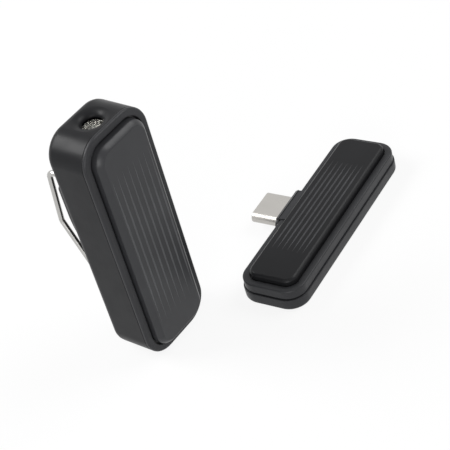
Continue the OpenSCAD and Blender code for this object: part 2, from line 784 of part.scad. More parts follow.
// Plate of the receiver: l along X, w along Y
module rx_plate(w, l, r, z0, z1) { rotate([0, 0, 90]) flat_plate(w, l, r, z0, z1); }
module rx_soft_plate(w, l, r, z0, z1, low, high, steps = edge_steps) {
    rotate([0, 0, 90]) soft_plate(w, l, r, z0, z1, low, high, steps);
}

// Room that the plug and its inner block need in both shells
module plug_room() {
    translate([0, plug_inner_y - fit, plug_z]) rotate([-90, 0, 0])
        linear_extrude(plug_inner_l + plug_run) stadium(plug_w + 2 * fit, plug_h + 2 * fit);
}

module rx_back_shell() color(charcoal) lay_receiver() {
    lip_inset = 0.3;    // depth of the parting groove, from the front shell's side
    difference() {
        union() {
            rx_soft_plate(rx_width, rx_length, rx_corner_r, 0, rx_split, rx_back_round, 0);
            rx_plate(rx_front_w - 2 * lip_inset, rx_front_l - 2 * lip_inset, rx_front_r - lip_inset,
                     rx_split - bite, rx_front_low);
        }
        rx_plate(rx_cavity_w, rx_cavity_l, rx_cavity_r, rx_wall, rx_front_low + bite);
        plug_room();
    }
}

module rx_front_shell() color(charcoal) lay_receiver() difference() {
    rx_soft_plate(rx_front_w, rx_front_l, rx_front_r, rx_front_low, rx_height, 0, rx_rim_round);
    rx_plate(rx_cavity_w, rx_cavity_l, rx_cavity_r, rx_front_low - bite, rx_height - rx_lid_t);
    rx_plate(rx_front_w - 2 * rx_rim, rx_front_l - 2 * rx_rim, rx_front_r - rx_rim,
             rx_pad_seat, rx_height + bite);
    plug_room();
}

module rx_ribbed_pad() color(charcoal) lay_receiver() {
    bevel_steps = 2;
    face_z = rx_height + rx_pad_rise;
    difference() {
        rx_soft_plate(rx_pad_w, rx_pad_l, rx_pad_r, rx_pad_seat, face_z,
                      0, rx_pad_bevel, bevel_steps);
        translate([0, 0, face_z]) rotate([0, 0, 90])
            groove_row(rx_rib_count, rx_rib_pitch, rx_rib_length, rx_rib_w, rx_rib_depth,
                       rx_rib_fade);
    }
}

// Bar of the bridge from y0 to y1 and from z0 to z1
module bridge_bar(y0, y1, z0, z1) {
    w = collar_l - 2 * bridge_inset;
    translate([-w / 2, y0, z0]) cube([w, y1 - y0, z1 - z0]);
}

module plug_collar() color(black) lay_receiver() {
    side_y = rx_width / 2 + fit;
    rim_y = rx_front_w / 2;
    low_z = rx_height + fit / 2;
    edge_w = 0.4;                        // width of the bridge's outer edge
    edge_fall = 0.15;                    // how much lower that edge is
    edge_z = low_z + bridge_rise - edge_fall;
    brow_t = 0.3;                        // height of the brow over the collar
    difference() {
        union() {
            translate([0, side_y, plug_z]) rotate([-90, 0, 0])
                linear_extrude(collar_rise - fit) stadium(collar_l, collar_w);
            hull() {
                bridge_bar(rx_pad_w / 2 + fit, rim_y - edge_w, low_z, low_z + bridge_rise);
                bridge_bar(rim_y - edge_w, side_y, low_z, edge_z);
            }
            hull() {
                bridge_bar(side_y, side_y + edge_w, rx_height - 2 * brow_t, edge_z);
                bridge_bar(side_y, plug_root_y, plug_z + collar_w / 2 - brow_t, plug_z + collar_w / 2);
            }
        }
        translate([0, side_y - plug_run, plug_z]) rotate([-90, 0, 0])
            linear_extrude(collar_rise + 2 * plug_run)
                stadium(plug_w + 2 * tilt, plug_h + 2 * tilt);
    }
}

module plug_shell() color(nickel) lay_receiver() {
    reach = plug_tip_y - plug_inner_y;
    translate([0, plug_inner_y, plug_z]) rotate([-90, 0, 0]) difference() {
        linear_extrude(reach) stadium(plug_w, plug_h);
        translate([0, 0, -bite]) linear_extrude(reach + 2 * bite)
            stadium(plug_w - 2 * plug_shell_t, plug_h - 2 * plug_shell_t);
    }
}

module plug_insulator() color(black) lay_receiver() {
    tip = 0.3;    // how far the block stops short of the shell's mouth
    slot_w = 6.9;
    slot_l = 5.2;
    end_y = plug_tip_y - tip;
    difference() {
        translate([0, plug_inner_y, plug_z]) rotate([-90, 0, 0])
            linear_extrude(end_y - plug_inner_y)
                stadium(plug_w - 2 * plug_shell_t - 2 * tilt, plug_h - 2 * plug_shell_t - 2 * tilt);
        translate([-slot_w / 2, end_y - slot_l, plug_z - plug_slot_h / 2])
            cube([slot_w, slot_l + bite, plug_slot_h]);
    }
}

module plug_contacts() color(gold) lay_receiver() {
    blade_t = 0.12;
    blade_w = 0.24;
    blade_l = 4.4;
    set_back = 0.7;
    end_y = plug_tip_y - set_back;
    for (s = [-1, 1], i = [0:contact_count - 1])
        translate([(i - (contact_count - 1) / 2) * contact_pitch - blade_w / 2, end_y - blade_l,
                   plug_z + s * (plug_slot_h / 2 - blade_t / 2) - blade_t / 2])
            cube([blade_w, blade_l, blade_t]);
}

module rx_circuit_board() color(board_green) lay_receiver() {
    far_y = rx_cavity_w / 2 - rx_board_side_gap;
    translate([-rx_board_l / 2, -far_y, rx_wall])
        cube([rx_board_l, far_y + plug_inner_y - fit, board_t]);
}

// Square chip on the receiver's board
module board_chip(side, x, y) {
    translate([x - side / 2, y - side / 2, rx_board_top]) cube([side, side, chip_t]);
}

module rx_chips() color(black) lay_receiver() {
    board_chip(radio_side, -rx_board_l / 3, 0);
    board_chip(charger_side, rx_board_l / 4, -charger_side / 4);
    board_chip(sound_side, -rx_board_l / 8, -sound_side);
}

module rx_antenna() color(steel) lay_receiver() {
    edge_gap = 1.5;
    translate([rx_board_l / 2 - edge_gap - antenna_w, -antenna_l / 2, rx_board_top])
        cube([antenna_w, antenna_l, antenna_t]);
}

tx_main_shell();
tx_front_bezel();
tx_ribbed_pad();
mic_mesh();
mic_foam_ring();
mic_capsule();
mic_rubber_boot();
clip_block();
clip_wire();
clip_pivot_bracket();
tx_circuit_board();
tx_board_screws();
tx_chips();
tx_antenna();
battery();
power_button();
button_switch();
status_light();
charge_socket_shell();
charge_socket_tongue();
rx_back_shell();
rx_front_shell();
rx_ribbed_pad();
plug_collar();
plug_shell();
plug_insulator();
plug_contacts();
rx_circuit_board();
rx_chips();
rx_antenna();
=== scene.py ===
"""Dresses a clip-on lavalier microphone set: its transmitter, spring wire clip and plug-in receiver.

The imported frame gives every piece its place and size. Sizes in the dataclasses are in millimetres.
The transmitter stands with +Z up its length and its ribbed face towards -Y. The receiver is
modelled lying along +X with its plug towards +Y, and is then laid beside the transmitter.
"""

import json
import logging
import math
from collections.abc import Callable, Iterator, Sequence
from contextlib import contextmanager
from dataclasses import dataclass
from enum import Enum

import bmesh
import bpy
from mathutils import Matrix, Quaternion, Vector


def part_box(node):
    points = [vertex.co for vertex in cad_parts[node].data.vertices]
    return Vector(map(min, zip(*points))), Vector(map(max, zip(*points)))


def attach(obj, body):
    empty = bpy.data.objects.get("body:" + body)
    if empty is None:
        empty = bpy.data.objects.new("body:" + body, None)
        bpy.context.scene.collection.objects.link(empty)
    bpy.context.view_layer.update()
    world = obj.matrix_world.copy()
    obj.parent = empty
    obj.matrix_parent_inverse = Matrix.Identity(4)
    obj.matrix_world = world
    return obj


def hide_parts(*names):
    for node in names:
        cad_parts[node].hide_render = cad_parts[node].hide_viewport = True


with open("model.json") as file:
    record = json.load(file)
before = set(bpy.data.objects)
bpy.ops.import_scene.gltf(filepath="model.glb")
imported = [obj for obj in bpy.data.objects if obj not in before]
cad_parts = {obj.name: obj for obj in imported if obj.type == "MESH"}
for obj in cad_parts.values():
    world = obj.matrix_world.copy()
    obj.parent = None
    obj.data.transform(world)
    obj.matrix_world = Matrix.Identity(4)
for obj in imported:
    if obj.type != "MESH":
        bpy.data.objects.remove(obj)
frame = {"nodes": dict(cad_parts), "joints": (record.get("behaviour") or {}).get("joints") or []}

LOG = logging.getLogger("lavalier_set")
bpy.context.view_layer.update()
MM = 0.001
TOLERANCE = 2e-6  # metres by which two places may differ and still count as one
BEYOND = 1.0  # millimetres that a cutter reaches past what it cuts
SHORT = 1e-4  # millimetres by which a half round stays short of a full one
SHARP = 60.0  # degrees by which the faces at a sharp edge turn
SQUARE = 0.99  # least part of a normal along an axis, for a face that looks along it
DIGITS = 3  # decimals to which places in millimetres are matched

Piece = bpy.types.Object
Node = bpy.types.Node
Socket = bpy.types.NodeSocket
Edge = bmesh.types.BMEdge
EdgeTest = Callable[[Edge], bool]
FaceTest = Callable[[bmesh.types.BMFace], bool]
Point = Sequence[float]
Colour = tuple[float, float, float]


class Axis(Enum):
    """A frame axis, by its index in a vector."""

    X = 0
    Y = 1
    Z = 2

    def vector(self, length: float = 1.0) -> Vector:
        """A vector along the axis, or against it where the length is below 0."""
        return Vector([length if index == self.value else 0.0 for index in range(3)])


class Element(Enum):
    """What is selected in a mesh: its name is Blender's select mode."""

    EDGE = "edges"
    FACE = "faces"


class Merge(Enum):
    """What a tool does to a piece."""

    CUT = "DIFFERENCE"
    ADD = "UNION"


class Body(Enum):
    """The CAD bodies that the new pieces ride on."""

    TRANSMITTER = "transmitter"
    CLIP = "clip"
    BUTTON = "button"
    RECEIVER = "receiver"


class Slot(Enum):
    """The record's material slots."""

    HOUSING = "housing"
    TRIM = "housing_trim"
    RIBBED = "ribbed_face"
    CLIP_BLOCK = "clip_block"
    MESH = "steel_mesh"
    SPRING = "spring_steel"
    METAL = "capsule_metal"
    SCREW = "screw_steel"
    RUBBER = "black_rubber"
    BOARD = "circuit_board"
    CHIP = "chip_black"
    CERAMIC = "antenna_ceramic"
    FOIL = "battery_foil"
    BUTTON = "button_rubber"
    LENS = "light_lens"
    NICKEL = "plug_nickel"
    CONNECTOR = "plug_plastic"
    GOLD = "contact_gold"


# --- Bench: modelling steps that every sub-assembly uses -------------------------------------


class Bench:
    """The modelling steps, each a few of Blender's own operators. Lengths are in millimetres."""

    @staticmethod
    def clear_selection() -> None:
        """Deselects everything, because operators act on all that is selected."""
        bpy.ops.object.select_all(action="DESELECT")

    @classmethod
    def pick(cls, *pieces: Piece) -> None:
        """Selects these objects alone and makes the first one active.

        Args:
            *pieces: The objects.
        """
        cls.clear_selection()
        for piece in pieces:
            piece.select_set(True)
        bpy.context.view_layer.objects.active = pieces[0]

    @classmethod
    @contextmanager
    def editing(cls, piece: Piece) -> Iterator[None]:
        """Holds one object in edit mode, with nothing selected at first.

        Args:
            piece: The object.

        Yields:
            Nothing.
        """
        cls.pick(piece)
        bpy.ops.object.mode_set(mode="EDIT")
        bpy.ops.mesh.select_all(action="DESELECT")
        yield
        bpy.ops.object.mode_set(mode="OBJECT")

    @staticmethod
    def settle(name: str) -> Piece:
        """Names the active object and puts its place and size in its mesh.

        Args:
            name: The piece's name.

        Returns:
            The piece, at the origin.
        """
        made = bpy.context.object
        made.name = made.data.name = name
        bpy.ops.object.transform_apply(location=True, rotation=True, scale=True)
        return made

    @staticmethod
    def add_object(name: str, data: bpy.types.ID) -> Piece:
        """Puts new data into the scene.

        Args:
            name: The object's name.
            data: Its mesh, curve, lamp or camera.

        Returns:
            The object.
        """
        made = bpy.data.objects.new(name, data)
        bpy.context.scene.collection.objects.link(made)
        return made

    @classmethod
    def block(cls, name: str, low: Point, high: Point) -> Piece:
        """Adds a block between two corners.

        Args:
            name: The piece's name.
            low: Lowest corner.
            high: Highest corner.

        Returns:
            The block.
        """
        low_v, high_v = Vector(low) * MM, Vector(high) * MM
        cls.clear_selection()
        bpy.ops.mesh.primitive_cube_add(size=1, location=(low_v + high_v) / 2)
        bpy.context.object.scale = high_v - low_v
        return cls.settle(name)

    @classmethod
    def bar(cls, name: str, low: Point, high: Point, along: Axis, radius: float, steps: int) -> Piece:
        """Adds a block whose four edges along an axis are rounded.

        Args:
            name: The piece's name.
            low: Lowest corner.
            high: Highest corner.
            along: The axis that the rounded edges follow.
            radius: Radius of the rounding.
            steps: Facets of each quarter round.

        Returns:
            The bar.
        """
        made = cls.block(name, low, high)
        cls.bevel_edges(made, edges_along(along), radius, steps)
        return made

    @classmethod
    def stadium(cls, name: str, low: Point, high: Point, along: Axis, steps: int = 12) -> Piece:
        """Adds a bar with half-round ends, as seen along an axis.

        Args:
            name: The piece's name.
            low: Lowest corner.
            high: Highest corner.
            along: The axis that the rounded edges follow.
            steps: Facets of each quarter round.

        Returns:
            The bar.
        """
        half = min(high[a.value] - low[a.value] for a in Axis if a is not along) / 2
        return cls.recalculate(cls.bar(name, low, high, along, half - SHORT, steps))

    @classmethod
    def rod(cls, name: str, start: Point, along: Axis, length: float, radius: float,
            sides: int = 48) -> Piece:
        """Adds a round rod that runs from a point along an axis.

        Args:
            name: The piece's name.
            start: Middle of its first end.
            along: The axis that it runs along.
            length: Its length.
            radius: Its radius.
            sides: Number of its facets.

        Returns:
            The rod.
        """
        turns = {Axis.X: (0, math.pi / 2, 0), Axis.Y: (math.pi / 2, 0, 0), Axis.Z: (0, 0, 0)}
        cls.clear_selection()
        bpy.ops.mesh.primitive_cylinder_add(
            vertices=sides, radius=radius * MM, depth=length * MM,
            location=(Vector(start) + along.vector(length / 2)) * MM, rotation=turns[along])
        return cls.settle(name)

    @staticmethod
    def select(piece: Piece, element: Element, test: EdgeTest | FaceTest) -> int:
        """Selects the edges or faces that pass a test.

        Args:
            piece: The object, in edit mode.
            element: Whether edges or faces are selected.
            test: Says which of them.

        Returns:
            How many there are.
        """
        bpy.ops.mesh.select_mode(type=element.name)
        bpy.ops.mesh.select_all(action="DESELECT")
        mesh = bmesh.from_edit_mesh(piece.data)
        chosen = [each for each in getattr(mesh, element.value) if test(each)]
        for each in chosen:
            each.select_set(True)
        bmesh.update_edit_mesh(piece.data)
        return len(chosen)

    @classmethod
    def bevel_edges(cls, piece: Piece, test: EdgeTest, amount: float, segments: int,
                    profile: float = 0.5) -> None:
        """Rounds the edges that pass a test.

        Args:
            piece: The object to shape.
            test: Says which edges are rounded.
            amount: Radius of the rounding.
            segments: Number of its facets.
            profile: Its shape: 0.5 is round and 0.25 a flat chamfer.
        """
        with cls.editing(piece):
            if cls.select(piece, Element.EDGE, test):
                bpy.ops.mesh.bevel(offset=amount * MM, offset_type="OFFSET", segments=segments,
                                   profile=profile, affect="EDGES", clamp_overlap=False)

    @classmethod
    def press(cls, piece: Piece, axis: Axis, level: float, sign: int, inset: float,
              move: float) -> None:
        """Draws a flat face in and then pushes it along its axis.

        Args:
            piece: The object to shape.
            axis: The axis that the face looks along.
            level: The face's place on it.
            sign: 1 where the face looks along the axis, and -1 where it looks against it.
            inset: How far the face is drawn in.
            move: How far it is then pushed along the axis.
        """
        with cls.editing(piece):
            cls.select(piece, Element.FACE, faces_at(axis, level, sign))
            bpy.ops.mesh.inset(thickness=inset * MM, depth=0, use_even_offset=True)
            bpy.ops.mesh.extrude_region_move(TRANSFORM_OT_translate={"value": axis.vector(move) * MM})

    @classmethod
    def ring_cuts(cls, piece: Piece, along: Axis, places: Sequence[float]) -> None:
        """Cuts rings of edges across a piece.

        Args:
            piece: The object to cut.
            along: The axis that the cuts stand across.
            places: Where they are on it.
        """
        with cls.editing(piece):
            for place in places:
                bpy.ops.mesh.select_all(action="SELECT")
                bpy.ops.mesh.bisect(plane_co=along.vector(place * MM), plane_no=along.vector())

    @classmethod
    def apply_modifier(cls, piece: Piece, kind: str, **settings: object) -> Piece:
        """Adds a modifier and applies it.

        Args:
            piece: The object to change.
            kind: The modifier's type.
            **settings: Its settings.

        Returns:
            The same object.
        """
        modifier = piece.modifiers.new(kind.title(), kind)
        for name, value in settings.items():
            setattr(modifier, name, value)
        cls.pick(piece)
        bpy.ops.object.modifier_apply(modifier=modifier.name)
        return piece

    @classmethod
    def combine(cls, piece: Piece, tool: Piece, merge: Merge = Merge.CUT) -> None:
        """Cuts a tool out of a piece, or adds it, and removes the tool.

        Args:
            piece: The object to change.
            tool: The other object, whose materials go to the faces that it leaves.
            merge: Whether it is cut out or added.
        """
        cls.apply_modifier(piece, "BOOLEAN", object=tool, operation=merge.value, solver="EXACT",
                           material_mode="TRANSFER" if tool.data.materials else "INDEX")
        bpy.data.objects.remove(tool)

    @classmethod
    def smooth(cls, piece: Piece, angle: float = 32.0) -> Piece:
        """Shades a piece smooth, with flat faces kept flat.

        Args:
            piece: The object to shade.
            angle: Turn above which an edge stays sharp, in degrees.

        Returns:
            The same piece.
        """
        cls.pick(piece)
        bpy.ops.object.shade_smooth_by_angle(angle=math.radians(angle))
        return cls.apply_modifier(piece, "WEIGHTED_NORMAL", keep_sharp=True, weight=80)

    @classmethod
    def recalculate(cls, piece: Piece) -> Piece:
        """Merges doubles and turns every face outwards.

        Args:
            piece: The object to clean.

        Returns:
            The same piece.
        """
        with cls.editing(piece):
            bpy.ops.mesh.select_all(action="SELECT")
            bpy.ops.mesh.remove_doubles(threshold=TOLERANCE)
            bpy.ops.mesh.normals_make_consistent(inside=False)
        return piece

    @classmethod
    def sweep(cls, name: str, lines: Sequence[Sequence[Vector]], radius: float,
              resolution: int) -> Piece:
        """Sweeps a round wire along lines of points and makes it a smooth mesh.

        Args:
            name: The piece's name.
            lines: One list of points for each wire.
            radius: Radius of the wire.
            resolution: Blender's bevel resolution: a wire has 4 sides and 2 more for each step.

        Returns:
            The wires as one piece.
        """
        curve = bpy.data.curves.new(name, "CURVE")
        curve.dimensions = "3D"
        curve.bevel_depth = radius * MM
        curve.bevel_resolution = resolution
        curve.use_fill_caps = True
        for line in lines:
            spline = curve.splines.new("POLY")
            spline.points.add(len(line) - 1)
            for point, place in zip(spline.points, line):
                point.co = (*(place * MM), 1.0)
        cls.pick(cls.add_object(name, curve))
        bpy.ops.object.convert(target="MESH")
        made = cls.recalculate(bpy.context.object)
        bpy.ops.object.shade_smooth()
        return made

    @classmethod
    def revolve(cls, name: str, profile: Sequence[tuple[float, float]], centre: Point,
                steps: int = 64) -> Piece:
        """Spins a profile once round an upright axis.

        Args:
            name: The piece's name.
            profile: Points as radius and height, from axis to axis.
            centre: Point on the axis at height 0.
            steps: Number of facets round the axis.

        Returns:
            The closed solid.
        """
        origin = Vector(centre)
        mesh = bpy.data.meshes.new(name)
        points = [(origin + Vector((r, 0, z))) * MM for r, z in profile]
        mesh.from_pydata(points, [(i, i + 1) for i in range(len(points) - 1)], [])
        made = cls.add_object(name, mesh)
        with cls.editing(made):
            bpy.ops.mesh.select_all(action="SELECT")
            bpy.ops.mesh.spin(steps=steps, angle=math.tau, center=origin * MM, axis=(0, 0, 1))
        return cls.recalculate(made)


def edges_along(axis: Axis) -> EdgeTest:
    """Test for edges that run along an axis."""
    return lambda edge: abs(abs((edge.verts[1].co - edge.verts[0].co)[axis.value])
                            - edge.calc_length()) < TOLERANCE


def edges_at(axis: Axis, level: float, sharper: float = 0.0) -> EdgeTest:
    """Test for edges at a level, in millimetres, whose faces turn by at least some degrees."""
    return lambda edge: (all(abs(v.co[axis.value] - level * MM) <= TOLERANCE for v in edge.verts)
                         and edge.calc_face_angle(0.0) >= math.radians(sharper))


def faces_at(axis: Axis, level: float, sign: int) -> FaceTest:
    """Test for faces at a level, in millimetres, that look along the axis or against it."""
    return lambda face: (abs(face.calc_center_median()[axis.value] - level * MM) < TOLERANCE
                         and face.normal[axis.value] * sign > SQUARE)


def fillet(start: Vector, corner: Vector, end: Vector, radius: float, steps: int) -> list[Vector]:
    """Points of the arc that rounds a corner between two straight runs.

    Args:
        start: A point on the run into the corner.
        corner: Where the two runs would meet.
        end: A point on the run out of the corner.
        radius: Radius of the arc.
        steps: Number of pieces of the arc.

    Returns:
        The arc's points, from the first run to the second.
    """
    into = (corner - start).normalized()
    out = (end - corner).normalized()
    turn = into.angle(out)
    side = (out - into * into.dot(out)).normalized()
    centre = corner - into * radius * math.tan(turn / 2) + side * radius
    return [centre + radius * (into * math.sin(turn * i / steps) - side * math.cos(turn * i / steps))
            for i in range(steps + 1)]


def box_mm(node: str) -> tuple[Vector, Vector]:
    """Lowest and highest corner of a CAD node, in millimetres."""
    low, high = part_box(node)
    return low / MM, high / MM


# --- Finishes --------------------------------------------------------------------------------

TONE_SPAN = (0.35, 0.65)  # the part of a noise over which the tone changes
GLOSS_SPAN = (0.3, 0.7)  # the part over which the roughness changes
GLOSS_LIMITS = (0.02, 1.0)  # the least and the greatest roughness of a finish


class Tree:
    """Writes nodes into the node tree of a material or of the world."""

    def __init__(self, owner: bpy.types.Material | bpy.types.World, empty: bool = False) -> None:
        """Switches the owner's nodes on.

        Args:
            owner: The material or the world.
            empty: Whether the nodes that it starts with are removed.
        """
        owner.use_nodes = True
        self.nodes, self.links = owner.node_tree.nodes, owner.node_tree.links
        if empty:
            self.nodes.clear()

    def fill(self, node: Node, inputs: dict[str | int, object]) -> None:
        """Links or sets a node's inputs.

        Args:
            node: The node.
            inputs: Another node's socket, which is linked, or a value for each input's key.
        """
        for key, value in inputs.items():
            if isinstance(value, Socket):
                self.links.new(value, node.inputs[key])
            else:
                node.inputs[key].default_value = value

    def add(self, kind: str, inputs: dict[str | int, object] | None = None,
            **settings: object) -> Node:
        """Adds a node.

        Args:
            kind: Its type, without the first two words.
            inputs: What goes into it.
            **settings: Its other settings.

        Returns:
            The node.
        """
        node = self.nodes.new("ShaderNode" + kind)
        for name, value in settings.items():
            setattr(node, name, value)
        self.fill(node, inputs or {})
        return node

    def noise(self, place: Socket, size: float, detail: float) -> Socket:
        """A noise whose grains have a size in millimetres."""
        inputs = {"Vector": place, "Scale": 1 / (size * MM), "Detail": detail}
        return self.add("TexNoise", inputs).outputs["Fac"]


@dataclass(frozen=True)
class Finish:
    """A material with fine relief and slow changes of tone and gloss.

    Attributes:
        name: The material's name.
        colour: Base colour.
        roughness: Middle roughness.
        metallic: 1 for bare metal.
        specular: Specular level of the surface.
        grain: Size of one grain of the fine relief, in millimetres.
        relief: Strength of the fine relief, from 0 to 1.
        relief_height: Height of that relief at full strength, in millimetres.
        mottle: How far the tone drifts, as a share of the colour.
        drift: Size of the patches of the drifting tone, in millimetres.
        gloss_drift: How far the roughness drifts either way.
        gloss_patch: Size of the patches of the drifting roughness, in millimetres.
        stretch: Scales of the grain along X, Y and Z, for drawn or brushed metal.
        coat: Weight of a clear coat.
        transmission: Share of light that passes through.
    """

    name: str
    colour: Colour
    roughness: float
    metallic: float = 0.0
    specular: float = 0.5
    grain: float = 0.12
    relief: float = 0.1
    relief_height: float = 0.02
    mottle: float = 0.08
    drift: float = 9.0
    gloss_drift: float = 0.04
    gloss_patch: float = 3.0
    stretch: tuple[float, float, float] = (1.0, 1.0, 1.0)
    coat: float = 0.0
    transmission: float = 0.0

    def build(self) -> bpy.types.Material:
        """Makes the material, or finds it if it is there already.

        Returns:
            The material.
        """
        found = bpy.data.materials.get(self.name)
        if found:
            return found
        material = bpy.data.materials.new(self.name)
        tree = Tree(material)
        whole = tree.add("TexCoord").outputs["Object"]
        place = tree.add("Mapping", {"Vector": whole, "Scale": self.stretch}).outputs["Vector"]
        tree.fill(tree.nodes["Principled BSDF"], {
            "Base Color": self.tone(tree, place), "Roughness": self.gloss(tree, place),
            "Normal": self.surface(tree, place), "Metallic": self.metallic,
            "Specular IOR Level": self.specular, "Coat Weight": self.coat,
            "Transmission Weight": self.transmission})
        return material

    def tone(self, tree: Tree, place: Socket) -> Socket:
        """The colour, drifting slowly between two tones.

        Args:
            tree: The material's nodes.
            place: Where a point is on the piece.

        Returns:
            The colour.
        """
        ramp = tree.add("ValToRGB", {"Fac": tree.noise(place, self.drift, detail=3.0)})
        shares = (1 - self.mottle, 1 + self.mottle)
        for stop, level, share in zip(ramp.color_ramp.elements, TONE_SPAN, shares):
            stop.position = level
            stop.color = (*(min(1.0, c * share) for c in self.colour), 1)
        return ramp.outputs["Color"]

    def gloss(self, tree: Tree, place: Socket) -> Socket:
        """The roughness, drifting over a few millimetres.

        Args:
            tree: The material's nodes.
            place: Where a point is on the piece.

        Returns:
            The roughness.
        """
        return tree.add("MapRange", {
            "Value": tree.noise(place, self.gloss_patch, detail=2.0),
            "From Min": GLOSS_SPAN[0], "From Max": GLOSS_SPAN[1],
            "To Min": max(GLOSS_LIMITS[0], self.roughness - self.gloss_drift),
            "To Max": min(GLOSS_LIMITS[1], self.roughness + self.gloss_drift)}).outputs["Result"]

    def surface(self, tree: Tree, place: Socket) -> Socket:
        """The fine relief as a bump.

        Args:
            tree: The material's nodes.
            place: Where a point is on the piece.

        Returns:
            The bumped normal.
        """
        return tree.add("Bump", {
            "Height": tree.noise(place, self.grain, detail=2.0), "Strength": self.relief,
            "Distance": self.relief_height * MM}).outputs["Normal"]


@dataclass(frozen=True)
class BoardFinish(Finish):
    """Solder mask over copper tracks.

    Attributes:
        track: Colour where a track lies under the mask.
        track_pitch: Distance from track to track, in millimetres.
        track_width: Width of a track, as a share of the pitch.
        patch: Brightness of every other field between the tracks.
    """

    track: Colour = (0.05, 0.24, 0.14)
    track_pitch: float = 1.1
    track_width: float = 0.09
    patch: float = 1.15

    def tone(self, tree: Tree, place: Socket) -> Socket:
        """A net of tracks over the plain mask.

        Args:
            tree: The material's nodes.
            place: Where a point is on the piece.

        Returns:
            The colour.
        """
        return tree.add("TexBrick", {
            "Vector": place, "Scale": 1 / (self.track_pitch * MM), "Mortar Size": self.track_width,
            "Color1": (*self.colour, 1), "Color2": (*(c * self.patch for c in self.colour), 1),
            "Mortar": (*self.track, 1)}).outputs["Color"]


HOUSING = Finish("satin_housing", (0.0102, 0.0104, 0.0115), 0.36, specular=0.12, grain=0.09,
                 relief=0.16)
TRIM = Finish("satin_trim", (0.0262, 0.0267, 0.029), 0.36, specular=0.17, grain=0.09, relief=0.16)
RIBBED = Finish("satin_ribbed_face", (0.0272, 0.0278, 0.0302), 0.35, specular=0.26, grain=0.08,
                relief=0.18)
# Painted highlight: the grooves have a much lighter colour than the face they are cut into, at the
# same roughness, so that they show as bright lines.
PAINTED_GROOVE_HIGHLIGHT = Finish("polished_groove", (0.097, 0.098, 0.103), 0.35, specular=0.2, grain=0.08, relief=0.1)
# Painted shade: a darker copy of the ribbed face's colour, for the receiver's pad.
PAINTED_SHADE_RIBBED = Finish("satin_dark_face", (0.0098, 0.01, 0.011), 0.34, specular=0.13, grain=0.08,
                     relief=0.18)
# Painted highlight on the receiver's grooves, lighter than their face, in a darker copy of the
# transmitter's groove colour as painted shade.
PAINTED_HIGHLIGHT_SHADE_GROOVE = Finish("satin_groove", (0.056, 0.0565, 0.06), 0.35, specular=0.12, grain=0.08,
                     relief=0.1)
CLIP_BLACK = Finish("matte_clip_block", (0.016, 0.016, 0.017), 0.5, specular=0.3, grain=0.14,
                    relief=0.3)
WIRE_STEEL = Finish("drawn_spring_steel", (0.47, 0.465, 0.45), 0.2, metallic=1.0, grain=0.05,
                    relief=0.12, mottle=0.04, stretch=(1.0, 1.0, 0.12))
MESH_STEEL = Finish("woven_steel", (0.36, 0.355, 0.325), 0.25, metallic=1.0, grain=0.05, relief=0.15,
                    mottle=0.94, drift=0.5)
NICKEL = Finish("satin_nickel", (0.49, 0.475, 0.45), 0.3, metallic=1.0, grain=0.04, relief=0.1,
                mottle=0.03, stretch=(1.0, 0.15, 1.0))
GOLD = Finish("gold_plate", (0.85, 0.63, 0.28), 0.25, metallic=1.0, grain=0.05, relief=0.08)
CONNECTOR_BLACK = Finish("connector_plastic", (0.014, 0.014, 0.015), 0.45, specular=0.4, grain=0.06,
                         relief=0.12)
SOFT_BLACK = Finish("soft_rubber", (0.018, 0.018, 0.019), 0.78, specular=0.3, grain=0.1, relief=0.45)
BUTTON_SKIN = Finish("button_skin", (0.03, 0.03, 0.032), 0.6, specular=0.35, grain=0.08, relief=0.25)
CAPSULE_METAL = Finish("capsule_metal", (0.66, 0.66, 0.67), 0.34, metallic=1.0, grain=0.06,
                       relief=0.12)
SCREW_STEEL = Finish("zinc_steel", (0.5, 0.5, 0.52), 0.32, metallic=1.0, grain=0.06, relief=0.15)
CHIP_RESIN = Finish("chip_resin", (0.022, 0.022, 0.024), 0.62, grain=0.1, relief=0.35)
CERAMIC = Finish("glazed_ceramic", (0.74, 0.73, 0.69), 0.25, grain=0.2, relief=0.08, coat=0.3)
POUCH = Finish("foil_pouch", (0.6, 0.61, 0.63), 0.36, metallic=0.9, grain=0.9, relief=0.5,
               mottle=0.06)
BOARD = BoardFinish("green_board", (0.012, 0.085, 0.05), 0.32, grain=0.3, relief=0.1, coat=0.2)
LENS = Finish("frosted_lens", (0.8, 0.83, 0.85), 0.4, grain=0.2, relief=0.1, transmission=0.6)


def dress(piece: Piece, finish: Finish) -> None:
    """Gives a piece one material all over."""
    piece.data.materials.clear()
    piece.data.materials.append(finish.build())


def hand_over(piece: Piece, body: Body, slot: Slot, finish: Finish | None, node: str) -> None:
    """Gives a finished piece its material and its body, and hides the solid that it stands for.

    Args:
        piece: The finished piece.
        body: The CAD body that it moves with.
        slot: The record's slot for its finish; not used.
        finish: Its finish, or None where its faces have theirs already.
        node: The CAD node that it stands for.
    """
    if finish:
        dress(piece, finish)
    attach(piece, body.value)
    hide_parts(node)
    LOG.info("%s rides on %s: %d faces, for %s", piece.name, body.value, len(piece.data.polygons),
             node)


# --- Ribbed faces ----------------------------------------------------------------------------


